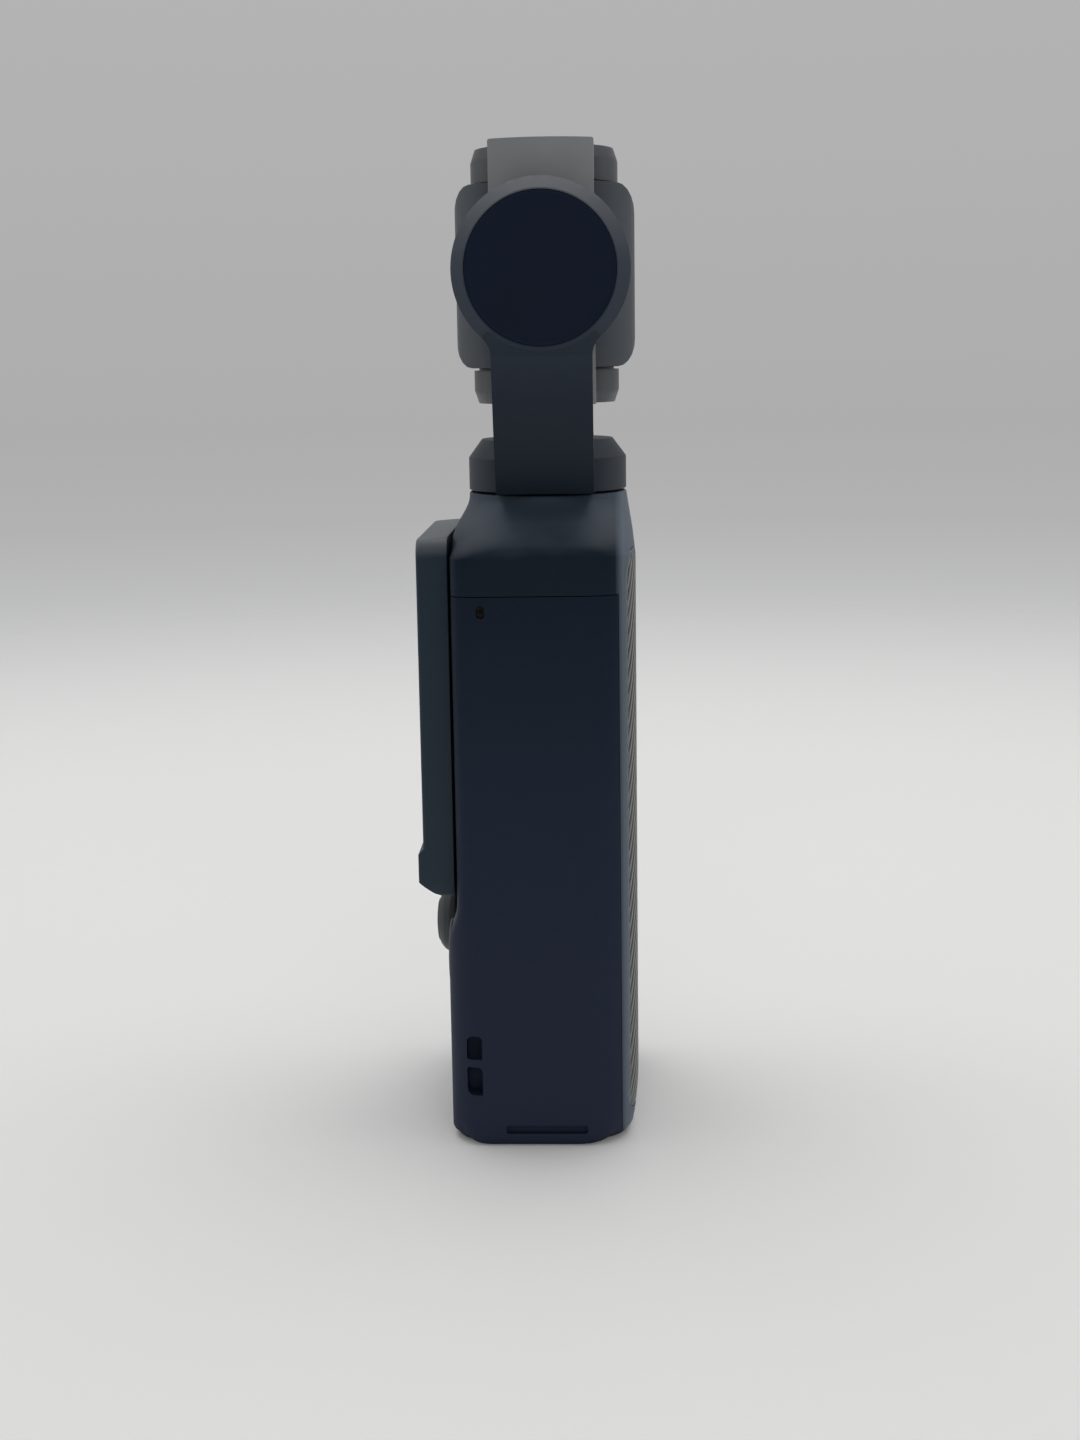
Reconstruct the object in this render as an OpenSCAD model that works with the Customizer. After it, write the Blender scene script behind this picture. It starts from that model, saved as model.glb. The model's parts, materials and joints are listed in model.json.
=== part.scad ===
// Pocket gimbal camera: a hand grip with a turning touch screen, and a small
// camera head on three motor axes (pan, roll and tilt).
// Frame: the origin is on the pan axis in the base plane, +Z is up, +X is the
// front (ribbed grip), -X is the screen side, and the lens looks along +Y at rest.

/* [Handle] */
// Width of the handle, side to side
handle_width = 42.2; // [40:0.1:46]
// Pan axis to the rear face, below the screen
rear_reach = 14.54; // [14.2:0.01:15.5]
// How far the rear face steps in behind the screen
seat_step = 1.54; // [1.2:0.02:1.8]
// Pan axis to the front face
front_reach = 12.5; // [12.2:0.1:14]
// Height at which the shoulders begin to draw in
shoulder_z = 84.2; // [82:0.1:90]
// Height of the drawn-in shoulders
neck_rise = 7.8; // [6:0.1:10]
// Radius of the rear upright corners
rear_corner_r = 5; // [4:0.1:6]
// Radius of the front upright corners
front_corner_r = 7; // [6:0.1:8]
// Wall thickness of the casings
wall = 1.2; // [1:0.05:1.4]
// Chamfer round the foot of the handle
foot_chamfer = 1.4; // [0.6:0.1:1.8]
// Height at which the rear step starts
step_low_z = 27.7; // [26:0.1:28.5]
// Height at which the rear step ends
step_high_z = 36.4; // [35:0.1:38]
// Radius of the long curve under the front
front_sweep_r = 48; // [44:1:60]
// Height at which that curve starts
front_sweep_z = 10.5; // [9:0.5:12]
// Drop of the side seam below the shoulders
seam_drop = 5.1; // [4:0.1:7]
// Pan axis to the upright seam near the front
seam_x = 10.05; // [9.8:0.05:10.4]
// Width of the open seams
seam_gap = 0.12; // [0.06:0.02:0.2]

/* [Grip panel] */
// Thickness of the grip panel
grip_t = 0.9; // [0.7:0.05:1.1]
// Width of the bare strip beside the grip panel
grip_side = 2.55; // [2.4:0.05:4]
// Height of the lower edge of the grip panel
grip_low_z = 4; // [3:0.5:8]
// Bare band between the grip panel and the shoulders
grip_top_band = 0.2; // [0.1:0.1:2]
// Corner radius of the grip panel
grip_corner_r = 4; // [2:0.5:6]

/* [Screen] */
// Width of the screen
screen_width = 33.4; // [31:0.1:35]
// Height of the screen, with its thumb lip
screen_height = 51.5; // [50:0.1:52]
// Thickness of the screen, without the lip
screen_t = 4.4; // [4:0.1:5]
// Corner radius of the screen
screen_corner_r = 2.6; // [2:0.1:4]
// Height of the screen's turning axis
screen_pivot_z = 60.8; // [60:0.1:62]
// Gap between the screen and the handle
screen_gap = 0.5; // [0.4:0.05:0.7]
// How far the thumb lip stands proud of the screen
lip_proud = 0.7; // [0.4:0.1:1]
// Fall of the screen's top edge, from its back to its face
screen_top_fall = 0.35; // [0.2:0.05:0.5]
// Radius of the screen's turning hub
hub_r = 5; // [4:0.1:6]

/* [Controls] */
// Distance of both controls from the middle plane
control_y = 8.5; // [8.2:0.1:9]
// Height of both controls
control_z = 25; // [24.5:0.1:25.4]
// Radius of the record button
record_r = 5; // [4:0.1:5.4]
// Travel of the record button
record_travel = 0.4; // [0.2:0.05:0.5]
// Radius of the joystick cap
stick_r = 5.2; // [4.6:0.1:5.3]
// How far the joystick stands out of the rear face
stick_proud = 3.8; // [2.6:0.1:4]
// Travel of the joystick when pressed
stick_travel = 0.3; // [0.2:0.05:0.35]

/* [Gimbal] */
// Radius of the pan housing and the neck ring
pan_r = 11.33; // [11.2:0.01:12]
// Height of the pan housing
pan_h = 7.2; // [7:0.1:8]
// Running gap between the turning bodies
turn_gap = 0.4; // [0.3:0.05:0.5]
// Pan housing's top to the roll axis
roll_rise = 23.1; // [22.9:0.05:26]
// Width of the pan arm
arm_width = 13.6; // [12.6:0.1:15]
// Radius of the round head of the pan arm
arm_head_r = 12; // [11.8:0.1:12.6]
// Thickness of the round head
arm_head_t = 5.5; // [5.5:0.1:6.5]
// Pan axis to the mating face of the pan arm's head
arm_face_y = 14.2; // [14.2:0.1:15]
// Thickness of the yoke's back
yoke_t = 2.2; // [1.8:0.1:2.2]
// Width of the yoke's back
yoke_width = 14.3; // [14.2:0.1:16]
// Radius of the two round ends of the yoke
cap_r = 10.4; // [10.2:0.1:11]
// Height of the upper end, over the tilt motor
cap_top_h = 4.7; // [4.4:0.05:5]
// Height of the lower end, over the tilt bearing
cap_low_h = 4.6; // [4.2:0.1:5]
// Pan axis to the tilt axis, towards the lens
tilt_y = 1.75; // [1.7:0.05:1.85]

/* [Camera head] */
// Width of the camera head
head_width = 25.5; // [24:0.1:25.5]
// Height of the camera head
head_height = 25; // [24.6:0.1:25.6]
// Roll axis down to the middle of the camera head
head_drop = 0.55; // [0.3:0.05:0.7]
// Pan axis to the front face of the camera head
head_front_y = 13; // [12:0.1:13.5]
// Wall thickness of the camera head
head_wall = 1; // [0.8:0.05:1.2]
// Radius of the lens barrel's collar
lens_r = 9.2; // [8:0.1:9.6]
// How far the lens collar stands out of the head
lens_proud = 5.6; // [4:0.1:6]
// Radius of the front glass
lens_glass_r = 7.4; // [6:0.1:7.8]

/* [Hidden] */
$fn = 72;

// Clearances and small sizes shared by many pieces
fit = 0.05;
shaft_fit = 0.02;
part_corner_r = 1;
cut = 1;
far = 200;
// How far the end of a 45-degree chamfer moves along its faces when the outline grows by one
miter_share = 2 - sqrt(2);

// Heights and faces worked out from the driving sizes
half_w = handle_width / 2;
seam_z = shoulder_z - seam_drop;
neck_z = shoulder_z + neck_rise;
seat_reach = rear_reach - seat_step;
step_dx = seat_step;
step_dz = step_high_z - step_low_z;
step_r = (step_dx * step_dx + step_dz * step_dz) / (4 * step_dx);
frame_wall = wall + grip_t;
seat_in_x = -(seat_reach - wall);
rear_in_x = -(rear_reach - wall);
pan_gap_share = 0.75;
pan_z = neck_z + pan_gap_share * turn_gap;
pan_top_z = pan_z + pan_h;
roll_z = pan_top_z + roll_rise;
yoke_face_y = arm_face_y - turn_gap;
head_mid_z = roll_z - head_drop;
head_low_z = head_mid_z - head_height / 2;
head_high_z = head_mid_z + head_height / 2;
cap_low_z = head_high_z + turn_gap;
cap_high_z = cap_low_z + cap_top_h;
foot_high_z = head_low_z - turn_gap;
foot_low_z = foot_high_z - cap_low_h;

// Handle casing

// Plan outline, grown by g; a minus value draws it in
module handle_plan(g) {
    half = half_w + g;
    rear_r = rear_corner_r + g;
    front_r = front_corner_r + g;
    rear_x = -(rear_reach + g);
    front_x = front_reach + g;
    translate([rear_x + rear_r, -half]) square([front_x - rear_x - rear_r - front_r, 2 * half]);
    translate([rear_x, -half + rear_r]) square([-rear_x, 2 * (half - rear_r)]);
    translate([0, -half + front_r]) square([front_x, 2 * (half - front_r)]);
    for (s = [-1, 1]) {
        translate([rear_x + rear_r, s * (half - rear_r)]) circle(rear_r);
        translate([front_x - front_r, s * (half - front_r)]) circle(front_r);
    }
}

// Side outline in X and Z, up to the height top
module handle_side(g, top) {
    rear_x = -(rear_reach + g);
    seat_x = -(seat_reach + g);
    intersection() {
        union() {
            translate([rear_x, -g]) square([-rear_x, step_low_z + g]);
            translate([seat_x, -g]) square([front_reach + g - seat_x, top + g]);
            intersection() {
                translate([step_r - rear_reach, step_low_z]) circle(step_r + g, $fn = 4 * $fn);
                translate([rear_x, step_low_z]) square([-rear_x, step_dz / 2]);
            }
            difference() {
                translate([rear_x, step_low_z + step_dz / 2]) square([-rear_x, step_dz / 2]);
                translate([-seat_reach - step_r, step_high_z]) circle(step_r - g, $fn = 4 * $fn);
            }
        }
        union() {
            translate([front_reach - front_sweep_r, front_sweep_z])
                circle(front_sweep_r + g, $fn = 8 * $fn);
            translate([rear_x, front_sweep_z]) square([front_reach + g - rear_x, top]);
        }
    }
}

// Upright block of the handle, chamfered all round its foot
module handle_block(g, top) {
    chamfer = foot_chamfer + g * miter_share;
    hull() {
        translate([0, 0, -g]) linear_extrude(fit) handle_plan(g - chamfer);
        translate([0, 0, chamfer - g]) linear_extrude(top + g - chamfer) handle_plan(g);
    }
}

module handle_solid(g, top = shoulder_z) {
    intersection() {
        handle_block(g, top);
        rotate([90, 0, 0]) translate([0, 0, -far]) linear_extrude(2 * far) handle_side(g, top);
    }
}

// Distance from the pan axis to a rounded outline in the direction a
function outline_reach(a, half, reach, r) =
    let (c = abs(cos(a)), s = abs(sin(a)), px = reach - r, py = half - r, b = c * px + s * py)
    s * reach <= c * py ? reach / c
    : c * half <= s * px ? half / s
    : b + sqrt(b * b - px * px - py * py + r * r);

function between(a, b, share) = a + (b - a) * share;
function eased(t) = let (u = min(1, max(0, t))) u * u * (3 - 2 * u);

// Set-back and fineness of the drawn-in shoulders, and the rooms inside them
loft_gap = 0.02;
loft_steps = 7;
loft_sides = 72;
side_room_r = 8;
side_room_h = 3.6;

// Where the rear face starts and ends to draw in, as shares of the shoulders' height
rear_flare_share = [0.3, 0.9];

// Shoulders: the plan outline drawn in to the neck ring, its corners rounding as it rises
module shoulders(g, low, high, steps, sides) {
    points = [for (k = [0 : steps], i = [0 : sides - 1])
        let (z = low + (high - low) * k / steps, t = max(0, (z - shoulder_z) / neck_rise),
            a = 360 * i / sides, ahead = cos(a) > 0, half = between(half_w, pan_r, eased(t)),
            flare = (t - rear_flare_share[0]) / (rear_flare_share[1] - rear_flare_share[0]),
            reach = ahead ? between(front_reach, pan_r, t)
                : between(seat_reach, pan_r, eased(flare)),
            corner = between(ahead ? front_corner_r : rear_corner_r, pan_r, t * (2 - t)),
            r = outline_reach(a, half + g, reach + g, corner + g))
        [r * cos(a), r * sin(a), z]];
    walls = [for (k = [0 : steps - 1], i = [0 : sides - 1])
        let (j = (i + 1) % sides, a = k * sides + i, b = k * sides + j)
        each [[a, a + sides, b + sides], [a, b + sides, b]]];
    // Both ends are fans about a middle point
    mid = len(points);
    ends = [for (i = [0 : sides - 1])
        let (j = (i + 1) % sides)
        each [[mid, i, j], [mid + 1, steps * sides + j, steps * sides + i]]];
    polyhedron(concat(points, [[0, 0, low], [0, 0, high]]), concat(walls, ends));
}

// A box between two corners
module span(a, b) {
    translate(a) cube(b - a);
}

// A cylinder along X from x0 to x1, at y and z
module rod_x(r, x0, x1, y, z) {
    translate([x0, y, z]) rotate([0, 90, 0]) cylinder(h = x1 - x0, r = r);
}

// A cylinder along Y from y0 to y1, at x and z
module rod_y(r, y0, y1, x, z) {
    translate([x, y1, z]) rotate([90, 0, 0]) cylinder(h = y1 - y0, r = r);
}

// A cylinder along Z from z0 to z1, at x and y
module rod_z(r, z0, z1, x = 0, y = 0) {
    translate([x, y, z0]) cylinder(h = z1 - z0, r = r);
}

// A flat rounded rectangle, centred
module round_rect(w, h, r) {
    square([w - 2 * r, h], center = true);
    square([w, h - 2 * r], center = true);
    for (sx = [-1, 1], sy = [-1, 1])
        translate([sx * (w / 2 - r), sy * (h / 2 - r)]) circle(r);
}

// A rounded plate standing in the Y-Z plane, from x0 to x1
module plate_x(x0, x1, w, h, r, y, z) {
    translate([x0, y, z]) rotate([90, 0, 90]) linear_extrude(x1 - x0) round_rect(w, h, r);
}

// Base opening and its screws
base_rim = 2.4;
base_t = 1.4;
base_back_x = base_rim - rear_reach;
base_front_x = 7.4;
base_corner_r = 2.5;
base_screw_back = 11.54;
base_screw_x = base_screw_back - rear_reach;
base_screw_inset = 5.6;
base_screw_y = half_w - base_screw_inset;
module base_outline(g) {
    translate([(base_back_x + base_front_x) / 2, 0])
        round_rect(base_front_x - base_back_x + 2 * g, 2 * (half_w - base_rim + g), base_corner_r + g);
}

// Charging port
port_inset = 9.04;
port_x = port_inset - rear_reach;
port_w = 8.94;
port_h = 3.26;
port_len = 7.3;
port_z = 0.3;
port_wall = 0.3;
module port_outline(g) {
    translate([port_x, 0]) round_rect(port_h + 2 * g, port_w + 2 * g, port_h / 2 - fit + g);
}

// Latch slot low on both sides
latch_x = -0.7;
latch_w = 11.6;
latch_z = 1.8;
latch_h = 1.2;
latch_depth = 0.9;
latch_back = 1;

// Lanyard eye: two pockets behind one bar, low on the near side
eye_inset = 3.64;
eye_x = eye_inset - rear_reach;
eye_w = 2.2;
eye_low_z = 7.55;
eye_high_z = 16.4;
eye_bar_z = 11.8;
eye_bar_h = 1.1;
eye_bar_t = 1.5;
eye_depth = 3;
eye_wall = 0.7;

// Circuit boards and the plate behind them
board_depth = 4.4;
board_t = 1;
board_x = seat_in_x + board_depth;
standoff_h = 2.8;
chassis_x = board_x + board_t + standoff_h;
chassis_t = 1.2;
chassis_gap = 0.5;
main_board_side = 3.1;
main_board_w = 2 * (half_w - main_board_side);
control_board_side = 3.6;
control_board_w = 2 * (half_w - control_board_side);

// Microphone and card openings
mic_drop = 2.1;
mic_r = 0.55;
mic_slot = 0.6;
mic_body = 2.6;
mic_t = 1.1;
mic_x = board_x - mic_body / 2 - 2 * fit;
mic_z = seam_z - mic_drop;
card_z = 50.5;
card_w = 11.4;
card_slot_t = 1;
card_t = 1.5;
card_len = 14.2;
card_x = board_x - card_t / 2;

// Screen: faces, axis and sweep
screen_back_x = -(seat_reach + screen_gap);
screen_face_x = screen_back_x - screen_t;
lip_x = screen_face_x - lip_proud;
screen_low_drop = 25.5;
screen_low_z = screen_pivot_z - screen_low_drop;
screen_high_z = screen_low_z + screen_height;
screen_mid_z = (screen_low_z + screen_high_z) / 2;
screen_reach = max(screen_low_drop, screen_high_z - screen_pivot_z) - screen_corner_r;
sweep_r = norm([screen_width / 2 - screen_corner_r, screen_reach]) + screen_corner_r;
seat_sink = 0.05;
hub_hole_gap = 0.15;
hinge_base_r = 10.5;
hinge_base_t = 0.8;
hinge_base_x = seat_in_x + hinge_base_t;
retainer_r = 8.4;
retainer_t = 0.75;
retainer_x = hinge_base_x + fit;
hub_flange_r = 7.6;
hub_flange_t = 0.8;
screen_back_t = 0.8;
hub_flange_x = screen_back_x - screen_back_t;

// Controls
button_gap = 0.1;
button_flange = 0.7;
button_flange_t = 0.64;
button_proud = 0.35;
button_back_x = rear_in_x + button_gap + button_flange_t;
stick_hole_gap = 0.6;
stick_pivot_depth = 2.6;
stick_pivot_x = -(rear_reach - stick_pivot_depth);
lamp_r = 0.8;
lamp_z = 17.5;

// Screws: one size for every casing and board
screw_r = 0.65;
screw_len = 3.2;
screw_head_r = 1.15;
screw_head_t = 0.6;
screw_slot = 0.3;
boss_r = 1.9;
main_screw_inset = 3;
main_screw_y = main_board_w / 2 - main_screw_inset;
main_screw_low_z = 40;
main_screw_high_z = 74;
control_screw_inset = 2;
control_screw_y = control_board_w / 2 - control_screw_inset;
control_screw_z = 17;

// A pan-head screw whose head sits on z = 0, its shank along -Z
module screw(g = 0) {
    translate([0, 0, -screw_len - g]) cylinder(h = screw_len + g, r = screw_r + g);
    difference() {
        cylinder(h = screw_head_t + g, r = screw_head_r + g);
        if (g == 0)
            for (a = [0, 90])
                rotate(a) translate([-screw_head_r / 2, -screw_slot / 2, screw_head_t / 2])
                    cube([screw_head_r, screw_slot, screw_head_t]);
    }
}

// Places of the base screws, heads down
module at_base_screws() {
    for (s = [-1, 1])
        translate([base_screw_x, s * base_screw_y, screw_head_t + fit]) mirror([0, 0, 1]) children();
}

// Places of the board screws, heads to the rear
module at_board_screws() {
    for (s = [-1, 1], z = [main_screw_low_z, main_screw_high_z])
        translate([board_x, s * main_screw_y, z]) rotate([0, -90, 0]) children();
    for (s = [-1, 1])
        translate([board_x, s * control_screw_y, control_screw_z]) rotate([0, -90, 0]) children();
}

// Places of the screws under the pan mount's flange
mount_flange_r = 7.6;
mount_flange_t = 1.3;
mount_screw_at = 5.9;
deck_t = 1.5;
module at_mount_screws() {
    for (a = [30 : 120 : 270])
        rotate(a) translate([mount_screw_at, 0, neck_z - deck_t - mount_flange_t])
            mirror([0, 0, 1]) children();
}

module rear_shell() {
    wall_y = half_w - wall;
    color("#262b33") difference() {
        union() {
            difference() {
                intersection() {
                    handle_solid(0);
                    span([-far, -far, 0], [seam_x - seam_gap / 2, far, seam_z - seam_gap / 2]);
                }
                intersection() {
                    handle_solid(-wall, shoulder_z + cut);
                    span([-far, -far, base_t], [far, far, far]);
                }
            }
            // Sill that closes the foot in front of the base opening
            intersection() {
                handle_solid(0);
                span([base_front_x, -wall_y, 0], [seam_x - seam_gap / 2, wall_y, base_t]);
            }
            for (s = [-1, 1])
                intersection() {
                    handle_solid(0);
                    span([latch_x - latch_w / 2 - latch_back, s > 0 ? wall_y - latch_back : -half_w,
                        base_t], [latch_x + latch_w / 2 + latch_back,
                        s > 0 ? half_w : latch_back - wall_y, latch_z + latch_h + latch_back]);
                }
            intersection() {
                handle_solid(0);
                span([eye_x - eye_w / 2 - eye_wall, -half_w, eye_low_z - eye_wall],
                    [eye_x + eye_w / 2 + eye_wall, eye_depth + eye_wall - half_w,
                    eye_high_z + eye_wall]);
            }
        }
        translate([0, 0, -cut]) linear_extrude(base_t + 2 * cut) base_outline(fit);
        for (s = [-1, 1])
            translate([latch_x, s * half_w, latch_z + latch_h / 2])
                cube([latch_w, 2 * latch_depth, latch_h], center = true);
        // Eye pockets and the way behind the bar
        for (z = [[eye_low_z, eye_bar_z], [eye_bar_z + eye_bar_h, eye_high_z]])
            span([eye_x - eye_w / 2, -half_w - cut, z[0]],
                [eye_x + eye_w / 2, eye_depth - half_w, z[1]]);
        span([eye_x - eye_w / 2, eye_bar_t - half_w, eye_low_z],
            [eye_x + eye_w / 2, eye_depth - half_w, eye_high_z]);
        for (s = [-1, 1])
            translate([mic_x, s * half_w, mic_z]) rotate([90, 0, 0])
                linear_extrude(2 * (wall + cut), center = true)
                    round_rect(2 * mic_r, 2 * mic_r + mic_slot, mic_r - fit);
        span([card_x - card_slot_t / 2, wall_y - cut, card_z - card_w / 2],
            [card_x + card_slot_t / 2, half_w + cut, card_z + card_w / 2]);
        rod_x(hub_r + hub_hole_gap, -rear_reach, seat_in_x + cut, 0, screen_pivot_z);
        // Shallow seat that the turning screen sweeps over
        rod_x(sweep_r + screen_gap, -rear_reach - cut, seat_sink - seat_reach, 0, screen_pivot_z);
        rod_x(record_r + button_gap, -rear_reach - cut, rear_in_x + cut, -control_y, control_z);
        rod_x(stick_r + stick_hole_gap, -rear_reach - cut, rear_in_x + cut, control_y, control_z);
        rod_x(lamp_r + fit, -rear_reach - cut, rear_in_x + cut, 0, lamp_z);
    }
}

// Region of the grip panel; its side edges have a flat back beside the seam
grip_back_gap = 0.5;
module grip_region(g) {
    high = shoulder_z - grip_top_band;
    plate_x(seam_x + grip_back_gap - g, far, 2 * (half_w - grip_side + g),
        high - grip_low_z + 2 * g, grip_corner_r + g, 0, (high + grip_low_z) / 2);
}

module neck_shell() {
    color("#3c444c") difference() {
        union() {
            intersection() {
                handle_solid(0);
                union() {
                    span([-far, -far, seam_z + seam_gap / 2], [far, far, far]);
                    span([seam_x + seam_gap / 2, -far, 0], [far, far, far]);
                }
            }
            shoulders(-loft_gap, shoulder_z, neck_z, loft_steps, loft_sides);
        }
        intersection() {
            handle_solid(-frame_wall, shoulder_z + cut);
            span([-far, -far, -cut], [far, far, shoulder_z + fit]);
        }
        intersection() {
            handle_solid(-wall, seam_z + seam_drop / 2);
            span([-far, -far, seam_z - cut], [seam_x - frame_wall, far, far]);
        }
        // Room inside the shoulders: one cone for the motor and one to each side
        translate([0, 0, shoulder_z - fit])
            cylinder(h = neck_z - deck_t - shoulder_z + fit, r1 = seat_reach - frame_wall,
                r2 = pan_r - frame_wall);
        for (s = [-1, 1])
            translate([0, s * (half_w - frame_wall - side_room_r), shoulder_z - fit])
                cylinder(h = side_room_h, r1 = side_room_r, r2 = side_room_r / 3);
        rod_z(tube_r + fit, neck_z - deck_t - cut, neck_z + cut);
        at_mount_screws() screw(fit);
        difference() {
            grip_region(fit);
            handle_solid(-grip_t - fit, shoulder_z + cut);
        }
        // Keeps the screen's sweep free above the seam
        rod_x(sweep_r + screen_gap, -rear_reach - cut, seat_sink - seat_reach, 0, screen_pivot_z);
    }
}

module grip_panel() {
    color("#5a5f62") difference() {
        intersection() {
            handle_solid(0);
            grip_region(0);
        }
        handle_solid(-grip_t, shoulder_z + cut);
    }
}

module base_plate() {
    color("#2e343b") difference() {
        linear_extrude(base_t) base_outline(0);
        translate([0, 0, -cut]) linear_extrude(base_t + 2 * cut) port_outline(fit);
        at_base_screws() screw(fit);
        at_base_screws() rod_z(screw_head_r + fit, 0, cut);
    }
}

module chassis() {
    half = half_w - wall - chassis_gap;
    low = base_t;
    plate_low_z = latch_z + latch_h + latch_back + chassis_gap;
    block_w = 5;
    block_h = 5;
    side_t = 1;
    side_inset = 5.1;
    side_x = front_reach - side_inset;
    side_low_z = 9;
    top_z = seam_z - chassis_gap;
    color("#6d7278") difference() {
        union() {
            span([chassis_x, -half, plate_low_z], [chassis_x + chassis_t, half, top_z]);
            for (s = [-1, 1]) {
                span([base_screw_x - block_w / 2, s * base_screw_y - block_w / 2, low],
                    [base_screw_x + block_w / 2, s * base_screw_y + block_w / 2, low + block_h]);
                span([chassis_x, s > 0 ? half - side_t : -half, side_low_z],
                    [side_x, s > 0 ? half : side_t - half, top_z]);
            }
            for (s = [-1, 1], z = [main_screw_low_z, main_screw_high_z])
                rod_x(boss_r, board_x + board_t, chassis_x + cut, s * main_screw_y, z);
            for (s = [-1, 1])
                rod_x(boss_r, board_x + board_t, chassis_x + cut, s * control_screw_y,
                    control_screw_z);
        }
        at_base_screws() screw(fit);
        at_board_screws() screw(fit);
    }
}

battery_front_gap = 1.75;
battery_x = chassis_x + chassis_t + fit;
battery_t = front_reach - frame_wall - battery_front_gap - battery_x;
battery_side = 3.6;
battery_w = 2 * (half_w - battery_side);
battery_low_z = 8;
battery_h = 54;
battery_r = 1.5;
module battery() {
    color("#4a5a8a")
        translate([0, 0, battery_low_z]) linear_extrude(battery_h)
            translate([battery_x + battery_t / 2, 0]) round_rect(battery_t, battery_w, battery_r);
}

main_board_low_z = 37;
main_board_high_z = 77.5;
module main_board() {
    color("#1f5a3c") difference() {
        span([board_x, -main_board_w / 2, main_board_low_z],
            [board_x + board_t, main_board_w / 2, main_board_high_z]);
        at_board_screws() screw(fit);
    }
}

shield_t = 1.8;
shield_w = 18;
shield_h = 15;
shield_y = -3;
shield_z = 66;
module processor_shield() {
    color("#b8bcc0")
        plate_x(board_x - shield_t, board_x, shield_w, shield_h, part_corner_r, shield_y, shield_z);
}

spreader_t = 0.3;
module heat_spreader() {
    margin = 1.5;
    x1 = board_x - shield_t;
    color("#c07a4a")
        plate_x(x1 - spreader_t, x1, shield_w + 2 * margin, shield_h + 2 * margin, margin, shield_y,
            shield_z);
}

module usb_port() {
    tongue_t = 0.7;
    tongue_w = 6.7;
    floor_t = 1;
    tongue_gap = 0.6;
    color("#a9adb2") translate([0, 0, port_z]) {
        difference() {
            linear_extrude(port_len) port_outline(0);
            translate([0, 0, -cut]) linear_extrude(port_len - floor_t + cut)
                port_outline(-port_wall);
        }
        translate([port_x - tongue_t / 2, -tongue_w / 2, tongue_gap])
            cube([tongue_t, tongue_w, port_len - floor_t]);
    }
}

module card_socket() {
    y1 = half_w - wall - fit;
    y0 = y1 - card_len;
    lip = 0.25;
    color("#9aa0a6") difference() {
        span([board_x - card_t, y0, card_z - card_w / 2 - lip],
            [board_x, y1, card_z + card_w / 2 + lip]);
        span([card_x - card_slot_t / 2, y0 + cut, card_z - card_w / 2],
            [card_x + card_slot_t / 2, y1 + cut, card_z + card_w / 2]);
    }
}

speaker_w = 14;
speaker_h = 9;
speaker_t = 4;
module speaker() {
    x0 = chassis_x + chassis_t + fit;
    dish_r = 3.4;
    dish_depth = 0.6;
    color("#33373b") difference() {
        plate_x(x0, x0 + speaker_t, speaker_w, speaker_h, part_corner_r, 0,
            battery_low_z + battery_h + speaker_h);
        rod_x(dish_r, x0 + speaker_t - dish_depth, x0 + speaker_t + cut, 0,
            battery_low_z + battery_h + speaker_h);
    }
}

module microphones() {
    y1 = half_w - wall - fit;
    port_r = 0.3;
    color("#c9b27a") for (s = [-1, 1])
        difference() {
            translate([mic_x, s * (y1 - mic_t / 2), mic_z])
                cube([mic_body, mic_t, mic_body], center = true);
            rod_y(port_r, s > 0 ? y1 - mic_t / 2 : -y1 - cut, s > 0 ? y1 + cut : mic_t / 2 - y1,
                mic_x, mic_z);
        }
}

control_board_low_z = 14.5;
control_board_high_z = 36;
module control_board() {
    color("#1f5a3c") difference() {
        span([board_x, -control_board_w / 2, control_board_low_z],
            [board_x + board_t, control_board_w / 2, control_board_high_z]);
        at_board_screws() screw(fit);
    }
}

switch_w = 5.2;
switch_stem_r = 1.6;
switch_body = 1.6;
module record_switch() {
    x1 = button_back_x + record_travel + button_gap;
    color("#b5b9bd") {
        span([board_x - switch_body, -control_y - switch_w / 2, control_z - switch_w / 2],
            [board_x, switch_w / 2 - control_y, control_z + switch_w / 2]);
        rod_x(switch_stem_r, x1, board_x - switch_body / 2, -control_y, control_z);
    }
}

plunger_t = 0.8;
plunger_x = board_x - switch_body - stick_travel - button_gap - plunger_t;
module joystick_switch() {
    body_t = 1.1;
    color("#b5b9bd") {
        span([board_x - body_t, control_y - switch_w / 2, control_z - switch_w / 2],
            [board_x, control_y + switch_w / 2, control_z + switch_w / 2]);
        rod_x(switch_stem_r, board_x - switch_body, board_x - body_t / 2, control_y, control_z);
    }
}

plunger_r = 5.9;
stick_case_wall = 0.8;
module joystick_housing() {
    x0 = rear_in_x + 2 * button_gap;
    color("#8d9299") difference() {
        intersection() {
            rod_x(plunger_r + shaft_fit + fit + stick_case_wall, x0, board_x, control_y, control_z);
            handle_solid(-wall - button_gap);
        }
        rod_x(plunger_r + shaft_fit + fit, x0 - cut, board_x + cut, control_y, control_z);
    }
}

module status_lamp() {
    flange_t = 0.6;
    flange_r = 1.3;
    color("#cfe8d8") {
        rod_x(lamp_r, -rear_reach, board_x, 0, lamp_z);
        rod_x(flange_r, board_x - flange_t, board_x, 0, lamp_z);
    }
}

module screen_hinge_base() {
    notch_r = 0.8;
    color("#aab0b6") difference() {
        rod_x(hinge_base_r, seat_in_x, hinge_base_x, 0, screen_pivot_z);
        rod_x(hub_r + shaft_fit, seat_in_x - cut, hinge_base_x + cut, 0, screen_pivot_z);
        for (a = [45 : 90 : 315])
            rod_x(notch_r, seat_in_x - cut, hinge_base_x + cut,
                (hinge_base_r - 2 * notch_r) * cos(a),
                screen_pivot_z + (hinge_base_r - 2 * notch_r) * sin(a));
    }
}

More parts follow.
